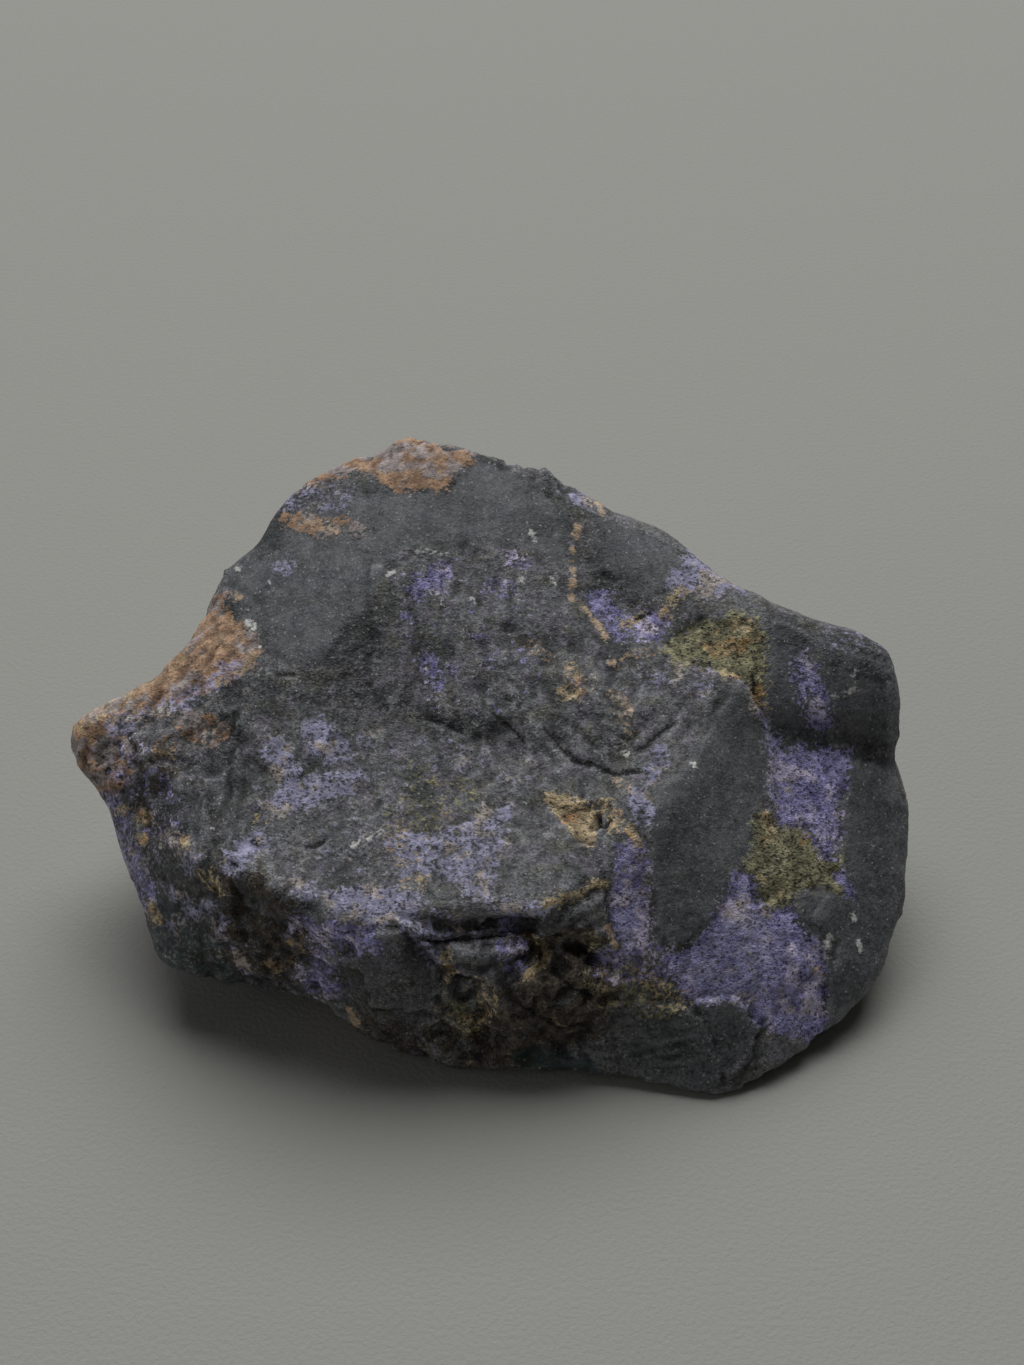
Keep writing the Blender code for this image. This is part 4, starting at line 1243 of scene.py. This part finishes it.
class RockDress:
    """The material of the whole rock: bare stone with each crust over it.

    All layers share a few noises, each taking another channel of them.
    """

    def __init__(self, stone: Stone, crusts: tuple[Crust, ...]) -> None:
        """Take the finishes.

        Args:
            stone: the bare rock.
            crusts: what lies on it, from the bottom up.
        """
        self.stone = stone
        self.crusts = crusts
        self.groups = {"edge": crumbled_edge(), "grains": grains(), "specks": specks()}
        self.material = bpy.data.materials.new("rock")
        self.material.use_nodes = True
        self.graph = graph = Graph(self.material.node_tree)
        place = graph.scale(graph.add("TexCoord", {}).outputs["Object"], 1 / MM)
        grain = graph.noise(place, stone.grain, detail=2.0).outputs
        self.blotch = graph.noise(place, stone.blotch, detail=4.0).outputs[0]
        self.patch = graph.parts(graph.noise(place, stone.patch, detail=3.0).outputs[1])
        self.grain = graph.parts(grain[1])
        self.height = grain[0]
        self.fine = graph.noise(place, stone.fine, detail=1.0).outputs[0]
        cells = graph.add("TexVoronoi", {"Vector": place, "Scale": 1 / stone.cell}).outputs
        self.cell = graph.parts(cells["Color"])
        self.reach = cells["Distance"]

    def use(self, name: str, **inputs: object) -> Socket:
        """Place one of the groups.

        Args:
            name: which group.
            **inputs: what its inputs get.

        Returns:
            Its output.
        """
        return self.graph.add("Group", inputs, node_tree=self.groups[name]).outputs[0]

    def field(self, name: str) -> Socket:
        """One of the mesh's fields."""
        return self.graph.add("Attribute", {}, attribute_name=name).outputs["Fac"]

    def light(self, noise_channel: int, cell_channel: int) -> Socket:
        """How light each grain is, by two channels of the shared noises."""
        return self.use("grains", Noise=self.grain[noise_channel], Cell=self.cell[cell_channel],
                        Fine=self.fine)

    def strewn(self, colour: Socket, channel: int, share: float, tone: Colour,
               cover: float) -> Socket:
        """Strew small specks over a colour.

        Args:
            colour: what is below.
            channel: which channel of the specks' noise they follow.
            share: how much of the surface they take.
            tone: the specks' colour.
            cover: how much they hide.

        Returns:
            The colour with the specks on it.
        """
        mask = self.use("specks", Cell=self.cell[channel], Reach=self.reach, Fine=self.fine,
                        Share=share)
        return self.graph.blend(self.graph.times(mask, cover), colour, tone)

    def bare(self) -> Layer:
        """Make the bare rock of blotches and grains.

        Returns:
            What the surface is made of then.
        """
        graph, stone = self.graph, self.stone
        colour = graph.blend(graph.rise(self.blotch, *stone.grey_span), stone.black, stone.grey)
        plum = graph.rise(self.patch[1], *stone.plum_span)
        colour = graph.blend(graph.times(plum, stone.plum_share), colour, stone.plum)
        olive = graph.rise(self.patch[2], *stone.olive_span)
        colour = graph.blend(graph.times(olive, stone.olive_share), colour, stone.olive)
        light = self.light(0, 0)
        uneven = graph.between(graph.rise(self.patch[0], *GRAIN_SPAN), *stone.uneven)
        bright = graph.times(uneven, graph.between(light, *stone.contrast))
        return Layer(graph.scale(colour, bright), graph.between(light, *stone.gloss))

    def coat(self, below: Layer, crust: Crust) -> Layer:
        """Lay one crust over what is below it.

        Args:
            below: what the surface is made of so far.
            crust: what comes over it.

        Returns:
            What the surface is made of then.
        """
        graph = self.graph
        first, second, third = ((crust.channel + step) % 3 for step in range(3))
        mask = self.use("edge", Field=self.field(crust.tint.value), Noise=self.grain[first],
                        Cell=self.cell[first], Crumble=crust.crumble, Soft=crust.soft)
        light = graph.between(PATCH_SHARE, self.light(second, third),
                              graph.rise(self.patch[third], *PATCH_SPAN))
        colour = graph.blend(light, crust.dark, crust.light)
        low = ACCENT_TOP - ACCENT_RANGE * crust.blotches
        blotch = graph.between(BLOTCH_SHARE, self.patch[first], self.blotch)
        accent = graph.rise(blotch, low, low + ACCENT_FADE)
        tone = graph.scale(crust.accent, graph.between(light, *ACCENT_CONTRAST))
        colour = graph.blend(graph.times(accent, ACCENT_COVER), colour, tone)
        if crust.pepper:
            colour = self.strewn(colour, second, crust.pepper, self.stone.pit, PEPPER_COVER)
        share = graph.times(mask, crust.cover)
        return Layer(graph.blend(share, below.colour, colour),
                     graph.between(share, below.roughness, crust.roughness))

    def cracks(self, colour: Socket) -> Socket:
        """Draw the cracks, thin and broken, over everything else.

        Args:
            colour: what is below.

        Returns:
            The colour with the cracks on it.
        """
        graph, width = self.graph, self.stone.crack
        side = graph.math("ABSOLUTE", graph.swing(self.grain[1], EDGE_GRAINS, self.field("side")))
        thin = graph.rise(side, width * CRACK_FADE[1], width * CRACK_FADE[0])
        near = graph.rise(self.field(Tint.CRACK.value), *CRACK_ENDS)
        mask = graph.times(graph.times(thin, near), CRACK_COVER)
        return graph.blend(mask, colour, self.stone.pit)

    def build(self) -> bpy.types.Material:
        """Make the material.

        Returns:
            The rock's material.
        """
        graph, stone = self.graph, self.stone
        layer = self.coat(self.bare(), self.crusts[0])
        salted = self.strewn(layer.colour, 1, stone.salt_share, stone.salt, SALT_COVER)
        layer = Layer(salted, layer.roughness)
        for crust in self.crusts[1:]:
            layer = self.coat(layer, crust)
        # A second scatter of pale specks over all crusts: pale grains, and painted glints.
        colour = self.strewn(layer.colour, 0, stone.pale_grain_and_glint_share, stone.salt, SALT_COVER)
        # Painted shade and highlight: the colour is darkened in the grooves and hollows of the
        # relief and lightened on its ridges and broken edges.
        shade = graph.times(graph.between(self.field("streak"), *STREAK_PAINTED_SHADE),
                            graph.between(self.field("edge"), *EDGE_PAINTED_SHADE))
        height = graph.math("MULTIPLY_ADD", self.fine, FINE_SHARE, self.height)
        height = graph.times(height, self.field("grit"))
        shader = self.material.node_tree.nodes["Principled BSDF"].inputs
        shader["Specular IOR Level"].default_value = stone.specular
        graph.feed(shader["Base Color"], graph.scale(self.cracks(colour), shade))
        graph.feed(shader["Roughness"], layer.roughness)
        graph.feed(shader["Normal"], graph.grow(height, stone.bump_share, stone.bump))
        return self.material


@dataclass(frozen=True)
class Wave:
    """One kind of relief: how high it stands and how wide it is, in millimetres."""

    height: float
    size: float


@dataclass(frozen=True)
class Relief:
    """The fine relief that all of the rock has.

    Attributes:
        swell: broad lumps.
        facets: the chips of rough rock.
        crumbs: the chips of the crumbly crusts.
        ridges: sharp ridges between the chips.
        crest: how much of their height is above the surface.
        grain: the finest lumps.
        squeeze: how the chips of rough rock are squeezed along each axis.
        turn: how far the pattern of chips is bent, so that it shows no straight lines.
        crumbly: how crumbly each of the crumbly crusts is.
        calm: how much smoother than the rest the slate faces are.
        sunk: how deep the purple crust lies.
        crack: how deep the cracks are.
        speck: how far the pale specks stand out.
        deepest: the most that the relief goes in, next to what is around it.
        highest: the most that it stands out.
    """

    swell: Wave = Wave(0.40, 5.0)
    facets: tuple[Wave, ...] = (Wave(0.65, 3.0), Wave(0.50, 1.3))
    crumbs: Wave = Wave(0.45, 0.9)
    ridges: Wave = Wave(0.16, 2.6)
    crest: float = 0.5
    grain: Wave = Wave(0.05, 1.0)
    squeeze: Spot = (1.0, 0.55, 0.8)
    turn: Wave = Wave(0.35, 1.2)
    crumbly: tuple[tuple[Tint, float], ...] = (
        (Tint.MOSS, 0.9), (Tint.BROWN, 1.0), (Tint.RUST, 0.3), (Tint.VIOLET, 0.3))
    calm: float = 0.75
    sunk: float = 0.12
    crack: float = 0.28
    speck: float = 0.07
    deepest: float = 0.40
    highest: float = 0.25

    def height(self, points: np.ndarray, fields: dict[Tint, np.ndarray],
               rough: np.ndarray) -> np.ndarray:
        """How far each point moves out, in millimetres.

        Args:
            points: the surface's points, one a row.
            fields: how far inside each tint's patches they lie.
            rough: how rough the rock broke at each.

        Returns:
            The height at each point.
        """
        rough = rough * (1 - self.calm * ramp(fields[Tint.SLATE], *EDGE_SPAN))
        crumbs = sum(share * ramp(fields[tint], *CRUMB_SPAN) for tint, share in self.crumbly)
        turned = points + self.turn.height * strays(points, self.turn.size, 1, TURN_PARTS)
        squeezed = turned * np.array(self.squeeze)
        rise = self.swell.height * rough * lumps(points, self.swell.size)
        for facet in self.facets:
            rise += facet.height * rough * over(squeezed, Chips(facet.size).height)
        rise += self.crumbs.height * crumbs * over(turned, Chips(self.crumbs.size).height)
        ridges = folds(turned + RIDGE_PART, self.ridges.size, self.crest)
        rise += self.ridges.height * rough * ridges
        rise += self.grain.height * lumps(points + GRAIN_PART, self.grain.size, octaves=3)
        rise -= self.sunk * ramp(fields[Tint.VIOLET], *EDGE_SPAN)
        rise -= self.crack * ramp(fields[Tint.CRACK], *CRACK_SPAN)
        specks = np.maximum(fields[Tint.TAN], fields[Tint.CHALK])
        return rise + self.speck * ramp(specks, *SPECK_SPAN)


@dataclass(frozen=True)
class Rock:
    """The whole specimen: a fine skin over the solid's form.

    Attributes:
        relief: the fine relief.
        cell: the size of the skin's quads.
        first_rounds: how many times the skin is evened out to begin with.
        soften_rounds: how much the solid's own facets are evened out.
        soften_sharp: how sharp an edge has to be to outlast that.
        base_band: from where to where above the base the fine relief fades in.
        seen_span: how far a face may turn from the eye, as the cosine of the angle between its
            normal and the line of sight, from where it is hidden to where it is fully seen.
        calm: how rough the rock is broken where nothing else is drawn.
        hidden: how much rougher the roughest hidden parts are.
        hidden_size: how wide the rough and the calm hidden parts are.
        hidden_span: where in their noise the roughness starts and is full.
        step_fine: how far the edges of plates stray in small bays.
        step_broad: how far they stray in wide ones.
        ridge_span: between which distances from their zone's edge the fine ridges start and
            are full.
        ridge_stretch: how much longer than wide they are.
        ridge_drop: the same, down the rock.
        ridge_width: how wide their noise is, next to how far apart they lie.
        ridge_crest: how much of their height is above the surface.
        rough_span: between which distances from a rough zone's edge it starts and is full.
        facing_rounds: over how many edges the normals are evened before they tell what is seen.
        level_rounds: over how many edges the relief is evened to tell what stands out of it.
        bulge_rounds: over how many edges the skin is evened to tell where its edges are.
    """

    relief: Relief = Relief()
    cell: float = 0.42
    first_rounds: int = 2
    soften_rounds: int = 14
    soften_sharp: float = 0.03
    base_band: Span = (0.05, 1.2)
    seen_span: Span = (-0.30, -0.06)
    calm: float = 0.35
    hidden: float = 0.9
    hidden_size: float = 14.0
    hidden_span: Span = (-0.3, 0.4)
    step_fine: Wave = Wave(0.45, 1.8)
    step_broad: Wave = Wave(0.7, 6.0)
    ridge_span: Span = (-1.0, 1.5)
    ridge_stretch: float = 5.0
    ridge_drop: float = 4.0
    ridge_width: float = 1.6
    ridge_crest: float = 0.6
    rough_span: Span = (-1.5, 1.0)
    facing_rounds: int = 12
    level_rounds: int = 3
    bulge_rounds: int = 4

    def fine_object(self, node: bpy.types.Object) -> bpy.types.Object:
        """A new object with the solid's form, in even small quads.

        Args:
            node: the solid.

        Returns:
            The new object.
        """
        form = bmesh.new()
        form.from_mesh(node.data)
        bmesh.ops.remove_doubles(form, verts=form.verts, dist=MERGE_GAP * MM)
        guide = put("rock_form", mesh_of(form, "rock_form"))
        remesh = guide.modifiers.new("even", "REMESH")
        remesh.mode = "VOXEL"
        remesh.voxel_size = self.cell * MM
        found = guide.evaluated_get(bpy.context.evaluated_depsgraph_get())
        fine = bpy.data.meshes.new_from_object(found)
        fine.name = "rock"
        bpy.data.objects.remove(guide)
        return put("rock", fine)

    def mark(self, skin: Skin, places: np.ndarray, seen: np.ndarray) -> None:
        """Work out how far inside each tint's patches every point lies.

        Args:
            skin: the surface.
            places: where its points are seen on the drawing.
            seen: how much each point belongs to the side on the drawing, from 0 to 1.
        """
        edges = {crust.tint: crust for crust in CRUSTS}
        for number, tint in enumerate(Tint):
            drawn = np.max([patch.field(places) for patch in MARKINGS[tint]], axis=0)
            scatter = SCATTERS[tint]
            spot = skin.points + np.array(scatter.place) * scatter.size
            spread = (lumps(spot, scatter.size, octaves=3) - scatter.level) * scatter.steep
            total = np.clip(drawn, -REACH, REACH) * seen + np.clip(spread, -REACH, 1) * (1 - seen)
            if tint in edges:
                spot = skin.points + TINT_SHIFT * number
                stray = lumps(spot, edges[tint].lump, octaves=2)
                total += edges[tint].ragged * stray
            skin.fields[tint] = total

    def crack_side(self, places: np.ndarray) -> np.ndarray:
        """How far each place lies to the left or right of the nearest crack.

        Args:
            places: places on the drawing, one a row.

        Returns:
            The distance, below zero on the right and at most 1 mm.
        """
        nearest = np.full(len(places), np.inf)
        result = np.ones(len(places))
        for patch in MARKINGS[Tint.CRACK]:
            gap, side = patch.around(places)
            result = np.where(gap < nearest, side * np.minimum(gap, 1.0), result)
            nearest = np.minimum(nearest, gap)
        return result

    def ridges(self, skin: Skin, places: np.ndarray, seen: np.ndarray) -> np.ndarray:
        """Fine ridges, along the way that each part of the rock broke.

        Args:
            skin: the surface.
            places: where its points are seen on the drawing.
            seen: how much each point belongs to the side on the drawing.

        Returns:
            How high they stand at each point, in millimetres.
        """
        total = np.zeros(len(places))
        for stroke in STROKES:
            share = ramp(stroke.zone.field(places), *self.ridge_span) * seen
            here = np.flatnonzero(share > 0)
            angle = math.radians(stroke.angle)
            along = places[here] @ np.array((math.cos(angle), math.sin(angle)))
            aside = places[here] @ np.array((-math.sin(angle), math.cos(angle)))
            depth = skin.points[here, 2] / self.ridge_drop
            spot = np.stack((aside, along / self.ridge_stretch, depth), axis=1)
            ridges = folds(spot, stroke.size * self.ridge_width, self.ridge_crest)
            total[here] += share[here] * stroke.depth * ridges
        return total

    def steps(self, skin: Skin, places: np.ndarray, seen: np.ndarray) -> np.ndarray:
        """Plates and hollows with uneven broken edges.

        Args:
            skin: the surface.
            places: where its points are seen on the drawing.
            seen: how much each point belongs to the side on the drawing.

        Returns:
            How high they stand at each point, in millimetres.
        """
        fine, broad = self.step_fine, self.step_broad
        strayed = places + fine.height * strays(skin.points, fine.size, 3, FINE_PARTS)
        strayed += broad.height * strays(skin.points, broad.size, 1, BROAD_PARTS)
        total = np.zeros(len(places))
        for step in STEPS:
            share = ramp(step.zone.field(strayed), -step.edge / 2, step.edge / 2)
            total += step.height * share * seen
        return total

    def roughness(self, skin: Skin, places: np.ndarray, seen: np.ndarray) -> np.ndarray:
        """How rough the rock is broken.

        Args:
            skin: the surface.
            places: where its points are seen on the drawing.
            seen: how much each point belongs to the side on the drawing.

        Returns:
            The roughness at each point, from 0 for smooth to 1 or more.
        """
        drawn = np.full(len(places), self.calm)
        for rough in ROUGH:
            drawn += (rough.amount - drawn) * ramp(rough.zone.field(places), *self.rough_span)
        pattern = lumps(skin.points + CALM_PART, self.hidden_size, octaves=2)
        hidden = self.calm + self.hidden * ramp(pattern, *self.hidden_span)
        return drawn * seen + hidden * (1 - seen)

    def shape(self, skin: Skin, drawing: Drawing) -> None:
        """Give the skin its fine form, its fields and its shades.

        The shades say where the fine ridges and the broken edges are, as painted shade and
        highlight that darken grooves and hollows and lighten crests, on which side of a crack a
        point lies, and how strong the grains stand out.

        Args:
            skin: the surface.
            drawing: the plane that the seen side is laid out on.
        """
        skin.points = skin.spread(skin.points, self.first_rounds)
        skin.soften(self.soften_rounds, self.soften_sharp)
        sight = unit(drawing.eye() - skin.points)
        facing = unit(skin.spread(skin.normals(), self.facing_rounds))
        seen = ramp(np.sum(facing * sight, axis=1), *self.seen_span)
        places = drawing.places(skin.points)
        self.mark(skin, places, seen)
        free = ramp(skin.points[:, 2], *self.base_band)
        ridges = self.ridges(skin, places, seen)
        rough = self.roughness(skin, places, seen)
        rise = self.relief.height(skin.points, skin.fields, rough) + ridges
        rise += self.steps(skin, places, seen)
        level = skin.spread(rise[:, None], self.level_rounds)[:, 0]
        rise = level + np.clip(rise - level, -self.relief.deepest, self.relief.highest)
        skin.points += skin.normals() * (rise * free)[:, None]
        skin.points[:, 2] = np.maximum(skin.points[:, 2], 0.0)
        even = skin.spread(skin.points, self.bulge_rounds)
        bulge = np.sum((skin.points - even) * skin.normals(), axis=1)
        grit = np.ones(len(rise))
        for crust in CRUSTS:
            grit += (crust.grit - grit) * ramp(skin.fields[crust.tint], *EDGE_SPAN)
        # streak and edge are painted shade and highlight, from the height of the fine ridges and
        # from how far each point stands out of its neighbours.
        skin.shades = {"streak": np.clip(0.5 + ridges * RIDGE_SHADE, 0, 1),
                       "edge": np.clip(0.5 + bulge * BULGE_SHADE, 0, 1),
                       "side": self.crack_side(places), "grit": grit}

    def build(self, node: bpy.types.Object, drawing: Drawing) -> bpy.types.Object:
        """Build the rock.

        Args:
            node: the solid that it replaces.
            drawing: the plane that the seen side is laid out on.

        Returns:
            The finished rock.
        """
        rock = self.fine_object(node)
        skin = Skin(rock.data)
        self.shape(skin, drawing)
        skin.write(rock.data)
        rock.data.shade_smooth()
        rock.data.materials.clear()
        rock.data.materials.append(RockDress(Stone(), CRUSTS).build())
        return rock


@dataclass(frozen=True)
class Lamp:
    """A square soft light.

    Attributes:
        place: where it hangs, in metres.
        size: its side, in metres.
        power: in watts.
    """

    place: Spot
    size: float
    power: float


@dataclass(frozen=True)
class FloorFinish:
    """A matt pale grey with a fine grain.

    Attributes:
        colour: its colour.
        roughness: how matt it is.
        specular: how much light it throws back like glass.
        grain: the size of its grain, in metres.
        bump: how far its grain stands out, in metres.
        bump_share: how strong that shows.
    """

    colour: Colour = (0.438, 0.437, 0.407)
    roughness: float = 0.7
    specular: float = 0.2
    grain: float = 0.0005
    bump: float = 0.0003
    bump_share: float = 0.4

    def build(self) -> bpy.types.Material:
        """Make the material.

        Returns:
            The floor's material.
        """
        material = bpy.data.materials.new("floor")
        material.use_nodes = True
        graph = Graph(material.node_tree)
        shader = material.node_tree.nodes["Principled BSDF"].inputs
        shader["Base Color"].default_value = (*self.colour, 1.0)
        shader["Roughness"].default_value = self.roughness
        shader["Specular IOR Level"].default_value = self.specular
        where = graph.add("TexCoord", {}).outputs["Object"]
        grain = graph.noise(where, self.grain, detail=2.0).outputs[0]
        graph.feed(shader["Normal"], graph.grow(grain, self.bump_share, self.bump))
        return material


@dataclass(frozen=True)
class Studio:
    """The pale floor, the soft lights and the camera.

    Attributes:
        finish: the floor's finish.
        floor_size: the floor's side, in metres.
        lamps: the soft lights.
        aim: what the lamps point at, in metres.
        sky: the colour of the light from all around.
        sky_strength: how bright that is.
        frame: the picture's width and height, in dots.
        dots: of the frame, to a millimetre on the drawing.
        film: the height of the camera's film, in millimetres.
        clip: how near the camera sees, in metres.
    """

    finish: FloorFinish = FloorFinish()
    floor_size: float = 4.0
    lamps: tuple[Lamp, ...] = (
        Lamp((0.03, 0.77, 1.21), 1.25, 16.3),
        Lamp((-0.6, -0.25, 0.25), 0.5, 0.34),
    )
    aim: Spot = (0.0, 0.0, 0.02)
    sky: Colour = (0.5, 0.5, 0.5)
    sky_strength: float = 0.068
    frame: tuple[int, int] = (1024, 1365)
    dots: float = 10.0
    film: float = 36.0
    clip: float = 0.01

    def floor(self) -> bpy.types.Object:
        """Build the floor.

        Returns:
            The floor.
        """
        form = bmesh.new()
        bmesh.ops.create_grid(form, x_segments=1, y_segments=1, size=self.floor_size / 2)
        floor = put("floor", mesh_of(form, "floor"))
        floor.data.materials.append(self.finish.build())
        return floor

    def light(self) -> None:
        """Hang the lamps and set the sky."""
        for number, lamp in enumerate(self.lamps):
            light = bpy.data.lights.new(f"lamp_{number}", "AREA")
            light.size = lamp.size
            light.energy = lamp.power
            holder = put(f"lamp_{number}", light)
            holder.location = lamp.place
            down = Vector(self.aim) - holder.location
            holder.rotation_euler = down.to_track_quat("-Z", "Y").to_euler()
        world = bpy.data.worlds.new("sky")
        world.use_nodes = True
        sky = world.node_tree.nodes["Background"].inputs
        sky["Color"].default_value = (*self.sky, 1.0)
        sky["Strength"].default_value = self.sky_strength
        bpy.context.scene.world = world
        bpy.context.scene.view_settings.view_transform = "Standard"

    def camera(self, drawing: Drawing) -> None:
        """Put the camera at the drawing's eye.

        Args:
            drawing: the plane that the seen side is laid out on.
        """
        lens = bpy.data.cameras.new("camera")
        lens.sensor_width = self.film
        lens.lens = drawing.eye_distance * self.dots / self.frame[1] * self.film
        lens.clip_start = self.clip
        camera = put("camera", lens)
        towards = Vector(drawing.towards())
        camera.location = (Vector(drawing.centre) + drawing.eye_distance * towards) * MM
        camera.rotation_euler = (-towards).to_track_quat("-Z", "Y").to_euler()
        bpy.context.scene.camera = camera


def main() -> None:
    """Build the rock and its studio around the frame."""
    logging.basicConfig(level=logging.INFO, format="%(message)s")
    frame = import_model()
    drawing = Drawing()
    rock = Rock().build(frame["nodes"][NODE], drawing)
    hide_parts(NODE)
    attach(rock, "root")
    log.info("rock: %d quads", len(rock.data.polygons))
    studio = Studio()
    studio.floor()
    studio.light()
    studio.camera(drawing)
    log.info("studio: floor, %d lamps and a camera", len(studio.lamps))


if __name__ == "__main__":
    main()
